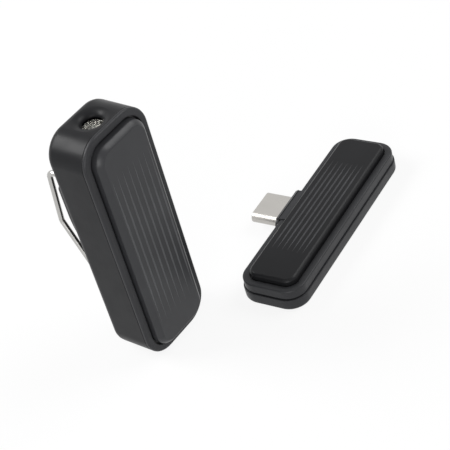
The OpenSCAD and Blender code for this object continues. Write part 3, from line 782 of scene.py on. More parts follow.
@dataclass(frozen=True)
class RibRow:
    """A row of long grooves that fade out at their ends.

    Attributes:
        count: Number of grooves.
        pitch: Distance from groove to groove.
        length: Length of a groove with its faded ends.
        fade: Length over which each end fades out.
        depth: Depth of a groove.
        width: Width of a groove at the face.
        sides: Facets of a whole turn of the groove's round bottom.
        fade_steps: Number of rings along each faded end.
        tip: Share of its full size that a groove has at its very ends.
        face: Finish of the face that it is cut into.
        line: Finish of the grooves, lighter than the face as a painted highlight.
    """

    count: int
    pitch: float
    length: float
    fade: float
    depth: float
    width: float
    sides: int = 16
    fade_steps: int = 6
    tip: float = 0.02
    face: Finish = RIBBED
    line: Finish = PAINTED_GROOVE_HIGHLIGHT

    def sections(self) -> list[tuple[float, float]]:
        """Shape of a groove from end to end.

        Returns:
            Places along the groove, each with the share of the full size there.
        """
        ends = [(self.length / 2 - self.fade + self.fade * i / self.fade_steps,
                 max(self.tip, math.cos(math.pi / 2 * i / self.fade_steps)))
                for i in range(self.fade_steps + 1)]
        return [(-place, share) for place, share in reversed(ends)] + ends

    def cutter(self) -> Piece:
        """One groove's cutter: a long rod along Y, drawn thin towards its ends.

        Returns:
            The cutter.
        """
        sections = self.sections()
        rod = Bench.rod("groove", (0, -self.length / 2, 0), Axis.Y, self.length, self.width / 2,
                        self.sides)
        Bench.ring_cuts(rod, Axis.Y, [place for place, _share in sections[1:-1]])
        shares = {round(place, DIGITS): share for place, share in sections}
        for vertex in rod.data.vertices:
            share = shares[round(vertex.co.y / MM, DIGITS)]
            vertex.co.x *= share
            vertex.co.z *= share * self.depth / (self.width / 2)
        return rod

    def carve(self, piece: Piece, to_face: Matrix) -> None:
        """Cuts the whole row into a piece, whose grooves get a finish of their own.

        Args:
            piece: The ribbed piece.
            to_face: Carries the grooves' frame, +Y along them and +Z out of the face, to the face.
        """
        first = self.cutter()
        copies = []
        for i in range(self.count):
            shift = Matrix.Translation(((i - (self.count - 1) / 2) * self.pitch * MM, 0, 0))
            copies.append(Bench.add_object(f"groove_{i}", first.data.copy()))
            copies[-1].data.transform(to_face @ shift)
        bpy.data.objects.remove(first)
        Bench.pick(*copies)
        bpy.ops.object.join()
        dress(piece, self.face)
        # The grooves get a lighter colour than the face: a painted highlight.
        dress(copies[0], self.line)
        Bench.combine(piece, copies[0])


# --- Transmitter -----------------------------------------------------------------------------


@dataclass
class Transmitter:
    """The upright housing with its bezel, ribbed pad and light.

    Attributes:
        corner: Radius of the outline's corners.
        corner_steps: Facets of each of those corners.
        wall: Thickness of the moulded walls.
        back_round: Rounding of the back edge.
        bezel_round: Rounding of the bezel's outer edge.
        rim: Width of the bezel's rim.
        rim_round: Rounding of the rim's inner edge.
        parting: Size of the chamfers that make the parting line.
        flange: Thickness of the pad's hidden flange.
        groove: Width of the groove between the rim and the pad.
        pad_round: Width of the rounding of the pad's front edge.
        pad_profile: Shape of that rounding, a little flatter than round.
        opening: Radius of the sound opening.
        lip_reach: Width of the opening's rounded lip.
        lip_drop: Depth of that lip.
        lip_steps: Facets of the lip.
        opening_depth: Depth of the opening down to the mesh.
        slot_gap: Clearance of the clip's legs in their slots.
        slot_round: Rounding of those slots, as a share of half their width.
        hole_gap: Clearance round the button.
        fit: Clearance round the light and the socket.
        dome: Rounding of the light's lens, as a share of its radius.
        ribs: The grooves of the pad.
    """

    corner: float = 5.4
    corner_steps: int = 14
    wall: float = 1.2
    back_round: float = 1.8
    bezel_round: float = 0.45
    rim: float = 1.53
    rim_round: float = 0.15
    parting: float = 0.1
    flange: float = 0.9
    groove: float = 0.42
    pad_round: float = 1.1
    pad_profile: float = 0.34
    opening: float = 2.05
    lip_reach: float = 1.85
    lip_drop: float = 1.2
    lip_steps: int = 10
    opening_depth: float = 1.6
    slot_gap: float = 0.2
    slot_round: float = 0.6
    hole_gap: float = 0.15
    fit: float = 0.05
    dome: float = 0.45
    ribs: RibRow = RibRow(8, 1.5, 36.0, 12.0, 0.2, 0.42)

    def housing(self) -> None:
        """The main shell: a deep tub with its openings."""
        low, high = box_mm("tx_main_shell")
        shell = Bench.bar("transmitter_housing", low, high, Axis.Y, self.corner, self.corner_steps)
        Bench.bevel_edges(shell, edges_at(Axis.Y, high.y), self.back_round, segments=6)
        Bench.bevel_edges(shell, edges_at(Axis.Y, low.y), self.parting, segments=1)
        ledge = low.y + self.flange
        Bench.press(shell, Axis.Y, low.y, -1, self.wall / 2 - self.parting, self.flange)
        Bench.press(shell, Axis.Y, ledge, -1, self.wall / 2, high.y - self.wall - ledge)
        for tool in self.opening_tools(low, high):
            Bench.combine(shell, tool)
        hand_over(Bench.smooth(shell), Body.TRANSMITTER, Slot.HOUSING, HOUSING, "tx_main_shell")

    def opening_tools(self, low: Vector, high: Vector) -> Iterator[Piece]:
        """Makes the cutters for the sound opening, the clip, the button, the light and the socket.

        Args:
            low: Lowest corner of the housing.
            high: Highest corner of the housing.

        Yields:
            One cutter after another.
        """
        mesh_low, mesh_high = box_mm("mic_mesh")
        turns = [math.pi / 2 * i / self.lip_steps for i in range(self.lip_steps + 1)]
        lip = [(self.opening + self.lip_reach * (1 - math.sin(turn)),
                -self.lip_drop * (1 - math.cos(turn))) for turn in turns]
        bottom = -self.opening_depth - BEYOND
        profile = [(0, BEYOND), (lip[0][0], BEYOND), *lip, (self.opening, bottom), (0, bottom)]
        yield Bench.revolve("opening_tool", profile, ((mesh_low.x + mesh_high.x) / 2,
                                                      (mesh_low.y + mesh_high.y) / 2, high.z))
        clip = SpringClip()
        hinge = clip.hinge()
        reach = clip.wire + self.slot_gap
        slot_low = hinge.z - clip.bend_drop - reach
        slot_high = hinge.z + (high.y - hinge.y) * math.tan(math.radians(clip.open_angle)) + reach
        for x in (-clip.leg_x, clip.leg_x):
            yield Bench.bar("slot_tool", (x - reach, high.y - self.wall - BEYOND, slot_low),
                            (x + reach, high.y + BEYOND, slot_high), Axis.Y,
                            reach * self.slot_round, 5)
        button_low, button_high = box_mm("power_button")
        middle = (button_low + button_high) / 2
        cap = ButtonCap()
        inside, outside = high.x - self.wall - BEYOND, high.x + BEYOND
        half_l, half_w = cap.length / 2 + self.hole_gap, cap.width / 2 + self.hole_gap
        yield Bench.stadium("button_tool", (inside, middle.y - half_w, middle.z - half_l),
                            (outside, middle.y + half_w, middle.z + half_l), Axis.X)
        light_low, light_high = box_mm("status_light")
        light = (light_low + light_high) / 2
        yield Bench.rod("light_tool", (inside, light.y, light.z), Axis.X, self.wall + 2 * BEYOND,
                        (light_high.z - light_low.z) / 2 + self.fit)
        socket_low, socket_high = box_mm("charge_socket_shell")
        gap = Vector((self.fit, self.fit, 0))
        yield Bench.stadium("socket_tool", (*(socket_low - gap).xy, low.z - BEYOND),
                            (*(socket_high + gap).xy, low.z + self.wall + BEYOND), Axis.Z)

    def bezel(self) -> None:
        """The front ring with its rounded outer edge."""
        low, high = box_mm("tx_front_bezel")
        ring = Bench.bar("front_bezel", low, high, Axis.Y, self.corner, self.corner_steps)
        for level, sign in ((low.y, -1), (high.y, 1)):
            with Bench.editing(ring):
                Bench.select(ring, Element.FACE, faces_at(Axis.Y, level, sign))
                bpy.ops.mesh.inset(thickness=self.rim * MM, depth=0, use_even_offset=True)
                bpy.ops.mesh.delete(type="FACE")
        with Bench.editing(ring):
            Bench.select(ring, Element.EDGE, lambda e: e.is_boundary)
            bpy.ops.mesh.bridge_edge_loops()
        middle, half = (low + high) / 2, (high - low) / 2

        def outer(edge: Edge) -> bool:
            """Test for edges that lie outside the middle of the rim.

            Args:
                edge: An edge of the ring.

            Returns:
                Whether it does.
            """
            place = (edge.verts[0].co + edge.verts[1].co) / 2 / MM - middle
            across = max(0.0, abs(place.x) - half.x + self.corner)
            up = max(0.0, abs(place.z) - half.z + self.corner)
            return math.hypot(across, up) > self.corner - self.rim / 2

        front, back = edges_at(Axis.Y, low.y, SHARP), edges_at(Axis.Y, high.y, SHARP)
        Bench.bevel_edges(ring, lambda e: front(e) and outer(e), self.bezel_round, segments=5)
        Bench.bevel_edges(ring, lambda e: back(e) and outer(e), self.parting, segments=1)
        Bench.bevel_edges(ring, lambda e: front(e) and not outer(e), self.rim_round, segments=3)
        hand_over(Bench.smooth(ring), Body.TRANSMITTER, Slot.TRIM, TRIM, "tx_front_bezel")

    def pad(self) -> None:
        """The raised pad with its ribbed face and hidden flange."""
        low, high = box_mm("tx_ribbed_pad")
        front = high.y - self.flange
        inset = low.x - box_mm("tx_main_shell")[0].x
        pad = Bench.bar("ribbed_pad", (low.x, front, low.z), high, Axis.Y, self.corner - inset,
                        self.corner_steps)
        Bench.press(pad, Axis.Y, front, -1, self.rim + self.groove - inset, low.y - front)
        Bench.bevel_edges(pad, edges_at(Axis.Y, low.y), self.pad_round, 7, self.pad_profile)
        self.ribs.carve(pad, Matrix.Translation((0, low.y * MM, (low.z + high.z) / 2 * MM))
                        @ Matrix.Rotation(math.pi / 2, 4, "X"))
        hand_over(Bench.smooth(pad, angle=28), Body.TRANSMITTER, Slot.RIBBED, None, "tx_ribbed_pad")

    def light(self) -> None:
        """The status light's lens, with a soft dome."""
        low, high = box_mm("status_light")
        radius = (high.z - low.z) / 2
        lens = Bench.rod("status_light_lens", (low.x, (low.y + high.y) / 2, (low.z + high.z) / 2),
                         Axis.X, high.x - low.x, radius, sides=32)
        Bench.bevel_edges(lens, edges_at(Axis.X, high.x), radius * self.dome, segments=4)
        hand_over(Bench.smooth(lens, angle=40), Body.TRANSMITTER, Slot.LENS, LENS, "status_light")

    def build(self) -> None:
        """Builds every piece of the transmitter's outside."""
        self.housing()
        self.bezel()
        self.pad()
        self.light()


@dataclass
class ButtonCap:
    """The power button on the housing's side.

    Attributes:
        length: Length of the button.
        width: Width of the button.
        edge: Rounding of its edge.
        flange: Thickness of the flange inside the housing.
        overlap: How deep the cap reaches into the flange.
        dish: Depth of the hollow in its face.
        dish_inset: Distance of the hollow from the edge, as a share of the rounding.
    """

    length: float = 5.6
    width: float = 2.2
    edge: float = 0.2
    flange: float = 0.5
    overlap: float = 0.02
    dish: float = 0.06
    dish_inset: float = 0.8

    def build(self) -> None:
        """The button with its flange and its slightly hollow face."""
        low, high = box_mm("power_button")
        middle = (low + high) / 2
        half_l, half_w = self.length / 2, self.width / 2
        base = Bench.stadium("power_button_cap", low, (low.x + self.flange, high.y, high.z), Axis.X)
        cap = Bench.stadium(
            "cap", (low.x + self.flange - self.overlap, middle.y - half_w, middle.z - half_l),
            (high.x, middle.y + half_w, middle.z + half_l), Axis.X)
        Bench.combine(base, cap, Merge.ADD)
        Bench.bevel_edges(base, edges_at(Axis.X, high.x), self.edge, segments=4)
        Bench.press(base, Axis.X, high.x, 1, self.edge * self.dish_inset, -self.dish)
        hand_over(Bench.smooth(base), Body.BUTTON, Slot.BUTTON, BUTTON_SKIN, "power_button")


@dataclass
class SoundInlet:
    """The woven mesh in the sound opening.

    Attributes:
        pitch: Distance from wire to wire.
        wire: Radius of one wire.
        lift: Height of a wire at a crossing, as a share of its radius.
        points: Points of a wire for each crossing.
    """

    pitch: float = 0.46
    wire: float = 0.075
    lift: float = 1.05
    points: int = 4

    def line(self, row: int, turned: bool, radius: float) -> list[Vector]:
        """One wire's middle line, which passes over and under the wires that cross it.

        Args:
            row: Number of the wire from the middle.
            turned: Whether it runs along Y, and not along X.
            radius: Radius of the mesh.

        Returns:
            Its points, from the middle of the mesh.
        """
        across = row * self.pitch
        half = math.sqrt(radius ** 2 - across ** 2)
        count = max(self.points, int(2 * half / self.pitch * self.points))
        points = []
        for i in range(count + 1):
            run = -half + 2 * half * i / count
            phase = math.pi * (run / self.pitch + row + (1 if turned else 0))
            up = self.wire * self.lift * math.cos(phase)
            points.append(Vector((across, run, up) if turned else (run, across, up)))
        return points

    def build(self) -> None:
        """A disc of wires, half of them along X and half along Y."""
        low, high = box_mm("mic_mesh")
        centre = (low + high) / 2
        radius = (high.x - low.x) / 2 - self.wire
        reach = int(radius / self.pitch)
        lines = [[centre + point for point in self.line(row, turned, radius)]
                 for turned in (False, True) for row in range(-reach, reach + 1)]
        mesh = Bench.sweep("sound_mesh", lines, self.wire, resolution=0)
        hand_over(mesh, Body.TRANSMITTER, Slot.MESH, MESH_STEEL, "mic_mesh")


@dataclass
class SpringClip:
    """The bent wire on the back and the wedge block that it closes on.

    Attributes:
        wire: Radius of the wire.
        leg_x: Distance of each leg from the middle.
        pin_length: Length of the pins inside the housing.
        bend: Radius of the wire's bends.
        pin_bend: Radius of the bend at a pin.
        bend_drop: How far the top bend lies below the pins.
        bend_reach: Distance of the top bend behind the back.
        kink_reach: Distance of the kink behind the back.
        kink_drop: Distance of the kink below the pins.
        rest_gap: Distance of the crossbar from the back.
        open_angle: Angle by which the clip opens, in degrees.
        crown: Height of the block's straight crown.
        nose: Rounding of the block's upper end.
        edge: Rounding of the block's long edges.
        toe: Share of its full thickness that the block has at its lower end.
        levels: Number of rings along the block's curved back.
    """

    wire: float = 0.55
    leg_x: float = 5.4
    pin_length: float = 2.6
    bend: float = 1.4
    pin_bend: float = 0.9
    bend_drop: float = 0.1
    bend_reach: float = 4.6
    kink_reach: float = 6.3
    kink_drop: float = 12.4
    rest_gap: float = 0.1
    open_angle: float = 18.0
    crown: float = 5.9
    nose: float = 1.4
    edge: float = 0.6
    toe: float = 0.06
    levels: int = 14

    @staticmethod
    def hinge() -> Vector:
        """Middle of the line through both pins, in millimetres."""
        return Vector(frame["joints"][0]["pos_m"]) / MM

    def route(self) -> list[Vector]:
        """The wire's middle line.

        Returns:
            Its points, from one pin round to the other.
        """
        low = box_mm("clip_wire")[0]
        back = box_mm("tx_main_shell")[1].y
        hinge = self.hinge()
        pin = Vector((self.leg_x, hinge.y, hinge.z))
        pin_end = pin - Vector((self.pin_length, 0, 0))
        top = Vector((self.leg_x, back + self.bend_reach, hinge.z - self.bend_drop))
        kink = Vector((self.leg_x, back + self.kink_reach, hinge.z - self.kink_drop))
        foot = Vector((self.leg_x, back + self.wire + self.rest_gap, low.z + self.wire))
        middle = Vector((0, foot.y, foot.z))
        right = [pin_end, *fillet(pin_end, pin, top, self.pin_bend, steps=10),
                 *fillet(pin, top, kink, self.bend, steps=12),
                 *fillet(top, kink, foot, self.bend, steps=6),
                 *fillet(kink, foot, middle, self.bend, steps=12)]
        return right + [Vector((-p.x, p.y, p.z)) for p in reversed(right)]

    def spring(self) -> None:
        """The bent wire."""
        wire = Bench.sweep("spring_wire", [self.route()], self.wire, resolution=6)
        hand_over(wire, Body.CLIP, Slot.SPRING, WIRE_STEEL, "clip_wire")

    def block(self) -> None:
        """The wedge block: a bar whose back follows a curve up to a rounded crown."""
        low, high = box_mm("clip_block")
        crest = high.z - self.nose - self.crown
        wedge = Bench.block("clip_wedge", low, high)
        Bench.ring_cuts(wedge, Axis.Z, [low.z + (crest - low.z) * i / self.levels
                                        for i in range(1, self.levels + 1)])
        for vertex in wedge.data.vertices:
            if vertex.co.y > high.y * MM - TOLERANCE and vertex.co.z < crest * MM:
                short = (crest - vertex.co.z / MM) / (crest - low.z)
                rise = (high.y - low.y) * max(self.toe, 1 - short * short)
                vertex.co.y = (low.y + rise) * MM
        top, back = edges_at(Axis.Z, high.z), edges_at(Axis.Y, high.y)
        Bench.bevel_edges(wedge, lambda e: top(e) and back(e), self.nose, segments=8)

        def flank(edge: Edge) -> bool:
            """Test for edges between the curved back and the two sides."""
            return (all(abs(abs(v.co.x) - high.x * MM) < TOLERANCE for v in edge.verts)
                    and edge.calc_face_angle(0.0) > math.radians(SHARP)
                    and max(v.co.y for v in edge.verts) > low.y * MM + TOLERANCE
                    and not all(abs(v.co.z - low.z * MM) < TOLERANCE for v in edge.verts))

        Bench.bevel_edges(wedge, flank, self.edge, segments=4)
        hand_over(Bench.smooth(wedge), Body.TRANSMITTER, Slot.CLIP_BLOCK, CLIP_BLACK, "clip_block")

    def build(self) -> None:
        """Builds the wire and its block."""
        self.spring()
        self.block()


# --- Receiver --------------------------------------------------------------------------------


@dataclass
class Receiver:
    """The flat receiver: two shells, a ribbed pad and the plug on its side.

    Attributes:
        right: Distance of its middle to the right of the transmitter's.
        front: Distance of its middle in front of the transmitter's.
        turn: Turn about the upright axis, in degrees.
        length: Length from end to end.
        width: Width across the ribbed face.
        height: Height from its back to its rim.
        corner: Radius of the outline's corners.
        corner_steps: Facets of each of those corners.
        wall: Thickness of its walls.
        split: Height of the back shell.
        split_round: Rounding of the back shell's edge at the parting groove.
        gap: Width of the parting groove.
        step: How much narrower the front shell is on each side.
        lip_inset: Depth of the parting groove from the front shell's side.
        back_round: Rounding of the back edge.
        rim_round: Width of the rounding of the front shell's outer edge.
        rim_profile: Shape of that rounding.
        rim: Width of the rim round the pad.
        fine_round: Rounding of the front shell's other edges.
        pad_sink: How deep the pad sits in the front shell.
        pad_rise: Height of the pad above the rim.
        pad_bevel: Width of the bevel round the pad.
        pad_profile: Shape of that bevel.
        pad_gap: Width of the groove round the pad.
        way_gap: Clearance round the plug in the shells' side.
        way_depth: Depth of the plug's way from the side.
        ribs: The grooves of the pad.
    """

    right: float = 37.2
    front: float = 15.0
    turn: float = 6.0
    length: float = 48.4
    width: float = 14.4
    height: float = 5.0
    corner: float = 4.2
    corner_steps: int = 14
    wall: float = 1.0
    split: float = 2.7
    split_round: float = 0.12
    gap: float = 0.25
    step: float = 0.25
    lip_inset: float = 0.3
    back_round: float = 0.8
    rim_round: float = 0.3
    rim_profile: float = 0.36
    rim: float = 1.5
    fine_round: float = 0.1
    pad_sink: float = 0.5
    pad_rise: float = 1.4
    pad_bevel: float = 0.55
    pad_profile: float = 0.34
    pad_gap: float = 0.2
    way_gap: float = 0.05
    way_depth: float = 2.65
    # The receiver's pad and grooves take darker copies of the transmitter's colours as painted shade;
    # the grooves stay lighter than the face as a painted highlight.
    ribs: RibRow = RibRow(7, 1.16, 28.5, 6.5, 0.15, 0.42, face=PAINTED_SHADE_RIBBED, line=PAINTED_HIGHLIGHT_SHADE_GROOVE)

    def lay(self, piece: Piece) -> Piece:
        """Lays a piece that is modelled at the origin beside the transmitter.

        Args:
            piece: The piece.

        Returns:
            The same piece.
        """
        piece.data.transform(Matrix.Translation((self.right * MM, -self.front * MM, 0))
                             @ Matrix.Rotation(math.radians(self.turn), 4, "Z"))
        piece.data.update()
        return piece

    def plate(self, name: str, inset: float, low: float, high: float) -> Piece:
        """A plate with the receiver's outline, drawn in, between two heights."""
        half_l, half_w = self.length / 2 - inset, self.width / 2 - inset
        return Bench.bar(name, (-half_l, -half_w, low), (half_l, half_w, high), Axis.Z,
                         self.corner - inset, self.corner_steps)

    def plug_way(self) -> Piece:
        """Cutter for the plug's way through the shells' side.

        Returns:
            The cutter.
        """
        plug = Plug()
        half_w, half_h = plug.width / 2 + self.way_gap, plug.height / 2 + self.way_gap
        return Bench.stadium(
            "plug_way", (-half_w, self.width / 2 - self.way_depth, plug.middle - half_h),
            (half_w, self.width / 2 + BEYOND, plug.middle + half_h), Axis.Y)

    def back(self) -> None:
        """The back shell: a shallow tub with a lip that carries the front shell."""
        tub = self.plate("receiver_back", 0, 0, self.split)
        Bench.bevel_edges(tub, edges_at(Axis.Z, 0), self.back_round, segments=6)
        Bench.bevel_edges(tub, edges_at(Axis.Z, self.split), self.split_round, segments=2)
        Bench.press(tub, Axis.Z, self.split, 1, self.step + self.lip_inset - self.split_round,
                    self.gap)
        Bench.press(tub, Axis.Z, self.split + self.gap, 1, self.wall - self.lip_inset,
                    self.wall - self.split - self.gap)
        Bench.combine(tub, self.plug_way())
        hand_over(self.lay(Bench.smooth(tub)), Body.RECEIVER, Slot.HOUSING, TRIM, "rx_back_shell")

    def front_shell(self) -> None:
        """The front shell: a lid with a seat for the pad."""
        low = self.split + self.gap
        lid = self.plate("receiver_front", self.step, low, self.height)
        Bench.bevel_edges(lid, edges_at(Axis.Z, self.height), self.rim_round, 5, self.rim_profile)
        Bench.bevel_edges(lid, edges_at(Axis.Z, low), self.fine_round, segments=2)
        Bench.press(lid, Axis.Z, self.height, 1, self.rim - self.rim_round, -self.pad_sink)
        Bench.bevel_edges(lid, edges_at(Axis.Z, self.height, SHARP), self.fine_round, segments=2)
        Bench.press(lid, Axis.Z, low, -1, self.wall - self.fine_round, self.height - self.wall - low)
        Bench.combine(lid, self.plug_way())
        hand_over(self.lay(Bench.smooth(lid)), Body.RECEIVER, Slot.TRIM, TRIM, "rx_front_shell")

    def pad(self) -> None:
        """The raised pad with its bevelled edge and ribbed face."""
        top = self.height + self.pad_rise
        pad = self.plate("receiver_pad", self.step + self.rim + self.pad_gap,
                         self.height - self.pad_sink, top)
        Bench.bevel_edges(pad, edges_at(Axis.Z, top), self.pad_bevel, 5, self.pad_profile)
        self.ribs.carve(pad, Matrix.Translation((0, 0, top * MM))
                        @ Matrix.Rotation(math.pi / 2, 4, "Z"))
        hand_over(self.lay(Bench.smooth(pad, angle=28)), Body.RECEIVER, Slot.RIBBED, None,
                  "rx_ribbed_pad")

    def build(self) -> None:
        """Builds the receiver's housing and plug."""
        self.back()
        self.front_shell()
        self.pad()
        Plug().build(self)


@dataclass
class Plug:
    """The receiver's metal plug with its collar.

    Attributes:
        width: Width of the metal shell.
        height: Height of the metal shell.
        middle: Height of the plug's middle.
        sheet: Thickness of the shell's metal.
        end_wall: Thickness of the shell's closed end inside the housing.
        length: Length outside the collar.
        inner: Length inside the housing.
        facets: Facets of each quarter of the shell's round sides.
        mouth_round: Rounding of the shell's mouth.
        inner_round: Rounding of the mouth's inner edge.
        collar_rise: Height of the collar above the side.
        collar_length: Length of the collar along the side.
        collar_width: Width of the collar across the plug.
        collar_round: Rounding of the collar's edges.
        seat: Clearance between the housing and the collar.
        fit: Clearance between the shell and the collar.
        bridge_inset: Distance of the bridge's ends from the collar's ends.
        bridge_rise: Height of the bridge above the rim.
        bridge_lift: Clearance under the bridge.
        brow_drop: Depth of the brow below the rim.
        slope: How far the bridge and the brow fall towards the plug.
        round_above: Turn above which the collar's edges are rounded, in degrees.
    """

    width: float = 8.34
    height: float = 2.56
    middle: float = 2.75
    sheet: float = 0.32
    end_wall: float = 0.4
    length: float = 6.6
    inner: float = 2.6
    facets: int = 14
    mouth_round: float = 0.14
    inner_round: float = 0.05
    collar_rise: float = 0.8
    collar_length: float = 11.2
    collar_width: float = 4.2
    collar_round: float = 0.16
    seat: float = 0.05
    fit: float = 0.02
    bridge_inset: float = 1.0
    bridge_rise: float = 0.35
    bridge_lift: float = 0.025
    brow_drop: float = 0.5
    slope: float = 0.15
    round_above: float = 40.0

    def barrel(self, name: str, start: float, end: float, gap: float = 0.0) -> Piece:
        """A bar with the outline of the metal shell.

        Args:
            name: The piece's name.
            start: Where it starts along Y.
            end: Where it ends along Y.
            gap: How much larger it is than the shell, all round.

        Returns:
            The bar.
        """
        half_w, half_h = self.width / 2, self.height / 2
        return Bench.stadium(name, (-half_w - gap, start, self.middle - half_h - gap),
                             (half_w + gap, end, self.middle + half_h + gap), Axis.Y, self.facets)

    def shell(self, receiver: Receiver) -> None:
        """The drawn metal shell, open at its mouth.

        Args:
            receiver: The receiver that the plug sits in.
        """
        start = receiver.width / 2 - self.inner
        tip = receiver.width / 2 + self.collar_rise + self.length
        tube = self.barrel("plug_barrel", start, tip)
        Bench.bevel_edges(tube, edges_at(Axis.Y, tip), self.mouth_round, segments=4)
        Bench.press(tube, Axis.Y, tip, 1, self.sheet - self.mouth_round,
                    -(tip - start) + self.end_wall)
        Bench.bevel_edges(tube, edges_at(Axis.Y, tip, SHARP), self.inner_round, segments=2)
        hand_over(receiver.lay(Bench.smooth(tube)), Body.RECEIVER, Slot.NICKEL, NICKEL, "plug_shell")

    def collar(self, receiver: Receiver) -> None:
        """The moulded collar with the bridge that joins it to the pad.

        Args:
            receiver: The receiver that the plug sits in.
        """
        side = receiver.width / 2 + self.seat
        rise = self.collar_rise - self.seat
        half, half_w = self.collar_length / 2, self.collar_width / 2
        bridge_half = half - self.bridge_inset
        pad_side = receiver.width / 2 - receiver.step - receiver.rim - receiver.pad_gap
        top = receiver.height + self.bridge_rise
        collar = Bench.stadium("plug_collar_ring", (-half, side, self.middle - half_w),
                               (half, side + rise, self.middle + half_w), Axis.Y)
        bridge = Bench.block(
            "bridge", (-bridge_half, pad_side + self.seat, receiver.height + self.bridge_lift),
            (bridge_half, side, top))
        brow = Bench.block("brow", (-bridge_half, side, receiver.height - self.brow_drop),
                           (bridge_half, side + rise, top))
        for block, end, fall in ((bridge, side, self.slope),
                                 (brow, side + rise, self.slope + self.bridge_rise)):
            for vertex in block.data.vertices:
                if vertex.co.y > end * MM - TOLERANCE and vertex.co.z > receiver.height * MM:
                    vertex.co.z -= fall * MM
        for tool in (brow, bridge):
            Bench.combine(collar, tool, Merge.ADD)
        Bench.combine(collar, self.barrel("way", side - BEYOND, side + 2 * BEYOND, self.fit))
        Bench.apply_modifier(collar, "BEVEL", width=self.collar_round * MM, segments=3,
                             limit_method="ANGLE", angle_limit=math.radians(self.round_above))
        hand_over(receiver.lay(Bench.smooth(collar)), Body.RECEIVER, Slot.CLIP_BLOCK, TRIM,
                  "plug_collar")

    def build(self, receiver: Receiver) -> None:
        """Builds the plug's barrel and collar."""
        self.shell(receiver)
        self.collar(receiver)


# --- Inner pieces that keep their solids -----------------------------------------------------


class Innards:
    """The pieces inside the two housings, which keep their solids and get their finishes."""

    FINISHES: dict[str, tuple[Slot, Finish]] = {
        "mic_foam_ring": (Slot.RUBBER, SOFT_BLACK),
        "mic_capsule": (Slot.METAL, CAPSULE_METAL),
        "mic_rubber_boot": (Slot.RUBBER, SOFT_BLACK),
        "clip_pivot_bracket": (Slot.METAL, CAPSULE_METAL),
        "tx_circuit_board": (Slot.BOARD, BOARD),
        "tx_board_screws": (Slot.SCREW, SCREW_STEEL),
        "tx_chips": (Slot.CHIP, CHIP_RESIN),
        "tx_antenna": (Slot.CERAMIC, CERAMIC),
        "battery": (Slot.FOIL, POUCH),
        "button_switch": (Slot.METAL, CAPSULE_METAL),
        "charge_socket_shell": (Slot.NICKEL, NICKEL),
        "charge_socket_tongue": (Slot.CONNECTOR, CONNECTOR_BLACK),
        "plug_insulator": (Slot.CONNECTOR, CONNECTOR_BLACK),
        "plug_contacts": (Slot.GOLD, GOLD),
        "rx_circuit_board": (Slot.BOARD, BOARD),
        "rx_chips": (Slot.CHIP, CHIP_RESIN),
        "rx_antenna": (Slot.CERAMIC, CERAMIC),
    }

    def build(self) -> None:
        """Dresses every inner piece."""
        for node, (slot, finish) in self.FINISHES.items():
            piece = frame["nodes"][node]
            dress(piece, finish)
            LOG.info("%s keeps its solid, finish %s", node, finish.name)


# --- Studio ----------------------------------------------------------------------------------


@dataclass(frozen=True)
class Softbox:
    """A rectangular lamp that faces the set.

    Attributes:
        name: The lamp's name.
        place: Where it hangs, in metres.
        width: Its width, in metres.
        height: Its height, in metres.
        power: Its power, in watts.
        roll: Its turn about the way that it faces, in degrees.
        aim: The point that it faces, in metres.
    """

    name: str
    place: tuple[float, float, float]
    width: float
    height: float
    power: float
    roll: float = 0.0
    aim: tuple[float, float, float] = (0.015, -0.01, 0.02)

    def build(self) -> None:
        """Hangs the lamp."""
        lamp = bpy.data.lights.new(self.name, "AREA")
        lamp.shape = "RECTANGLE"
        lamp.size, lamp.size_y = self.width, self.height
        lamp.energy = self.power
        made = Bench.add_object(self.name, lamp)
        made.location = self.place
        facing = (Vector(self.aim) - Vector(self.place)).to_track_quat("-Z", "Y")
        made.rotation_euler = (facing @ Quaternion((0, 0, 1), math.radians(self.roll))).to_euler()


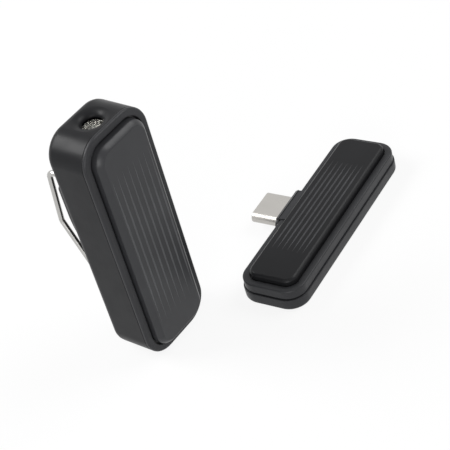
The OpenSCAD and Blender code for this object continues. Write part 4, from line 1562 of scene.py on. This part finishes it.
@dataclass
class Studio:
    """A pale floor, soft lamps and the camera.

    Attributes:
        ambient: Strength of the world's light on the set.
        floor_half: Half the floor's side, in metres.
        floor_drop: Depth of the floor under the set, in metres.
        floor_colour: The floor's own colour.
        floor_glow: Share of plain white that the floor shows to the camera and in reflections.
        camera_place: Where the camera stands, in millimetres.
        camera_right: Direction to the right in its picture.
        camera_up: Direction up in its picture.
        sensor: Width of its sensor.
        focal_length: Its focal length, in millimetres as the sensor's width is.
        sight: Nearest and farthest distance that it sees, in metres.
        lamps: The lamps.
    """

    ambient: float = 0.26
    floor_half: float = 3.0
    floor_drop: float = 0.00005
    floor_colour: Colour = (0.82, 0.82, 0.82)
    floor_glow: float = 0.88
    camera_place: tuple[float, float, float] = (-130.285, -161.753, 187.92)
    camera_right: tuple[float, float, float] = (0.56891, -0.7921, -0.22119)
    camera_up: tuple[float, float, float] = (0.62242, 0.23891, 0.74533)
    sensor: float = 36.0
    focal_length: float = 111.436
    sight: tuple[float, float] = (0.01, 10.0)
    lamps: tuple[Softbox, ...] = (
        Softbox("key_softbox", (0.46, -0.31, 0.58), 0.5, 0.5, 3.3),
        Softbox("back_left_softbox", (-0.245, 0.49, 0.51), 0.46, 0.24, 4.8, roll=-41.0),
        Softbox("left_softbox", (-0.68, -0.42, 0.22), 0.5, 0.5, 3.9),
    )

    @staticmethod
    def show(tree: Tree, output: str, lit: Node, seen: Node, share: float) -> None:
        """Joins what lights the set with what the camera and reflections see instead.

        Args:
            tree: The nodes of the floor or of the world.
            output: Kind of its output node.
            lit: The shader that the set is lit by.
            seen: The shader that the camera and reflections see.
            share: How much of it they see, from 0 to 1.
        """
        rays = tree.add("LightPath")
        total = rays.outputs["Is Camera Ray"]
        for kind in ("Is Glossy Ray", "Is Transmission Ray"):
            total = tree.add("Math", {0: total, 1: rays.outputs[kind]}, operation="ADD",
                             use_clamp=True).outputs[0]
        part = tree.add("Math", {0: total, 1: share}, operation="MULTIPLY")
        mix = tree.add("MixShader", {"Fac": part.outputs[0], 1: lit.outputs[0], 2: seen.outputs[0]})
        tree.add(output, {"Surface": mix.outputs[0]})

    def floor(self) -> None:
        """The pale floor, which keeps the set's shadow."""
        Bench.clear_selection()
        bpy.ops.mesh.primitive_plane_add(size=2 * self.floor_half, location=(0, 0, -self.floor_drop))
        plane = bpy.context.object
        plane.name = "floor"
        material = bpy.data.materials.new("floor_paper")
        tree = Tree(material, empty=True)
        paper = tree.add("BsdfDiffuse", {"Color": (*self.floor_colour, 1)})
        self.show(tree, "OutputMaterial", paper, tree.add("Emission"), self.floor_glow)
        plane.data.materials.append(material)

    def world(self) -> None:
        """White round about as it is seen, and dimmer as light on the set."""
        world = bpy.data.worlds.new("studio")
        bpy.context.scene.world = world
        tree = Tree(world, empty=True)
        dim, white = (tree.add("Background", {"Color": (1, 1, 1, 1), "Strength": strength})
                      for strength in (self.ambient, 1.0))
        self.show(tree, "OutputWorld", dim, white, 1.0)

    def camera(self) -> None:
        """The camera, looking down at the set from its front left."""
        data = bpy.data.cameras.new("camera")
        data.sensor_width, data.lens = self.sensor, self.focal_length
        data.clip_start, data.clip_end = self.sight
        made = Bench.add_object("camera", data)
        right, up = Vector(self.camera_right).normalized(), Vector(self.camera_up).normalized()
        turn = Matrix((right, up, right.cross(up))).transposed().to_4x4()
        made.matrix_world = Matrix.Translation(Vector(self.camera_place) * MM) @ turn
        bpy.context.scene.camera = made

    def build(self) -> None:
        """Sets up the whole studio."""
        self.camera()
        self.floor()
        self.world()
        for lamp in self.lamps:
            lamp.build()
        bpy.context.scene.view_settings.view_transform = "Standard"


def main() -> None:
    """Builds the studio and every sub-assembly in order."""
    logging.basicConfig(level=logging.INFO, format="%(name)s: %(message)s")
    for kind in (Studio, Transmitter, ButtonCap, SoundInlet, SpringClip, Receiver, Innards):
        LOG.info("building %s", kind.__name__)
        kind().build()


if __name__ == "__main__":
    main()
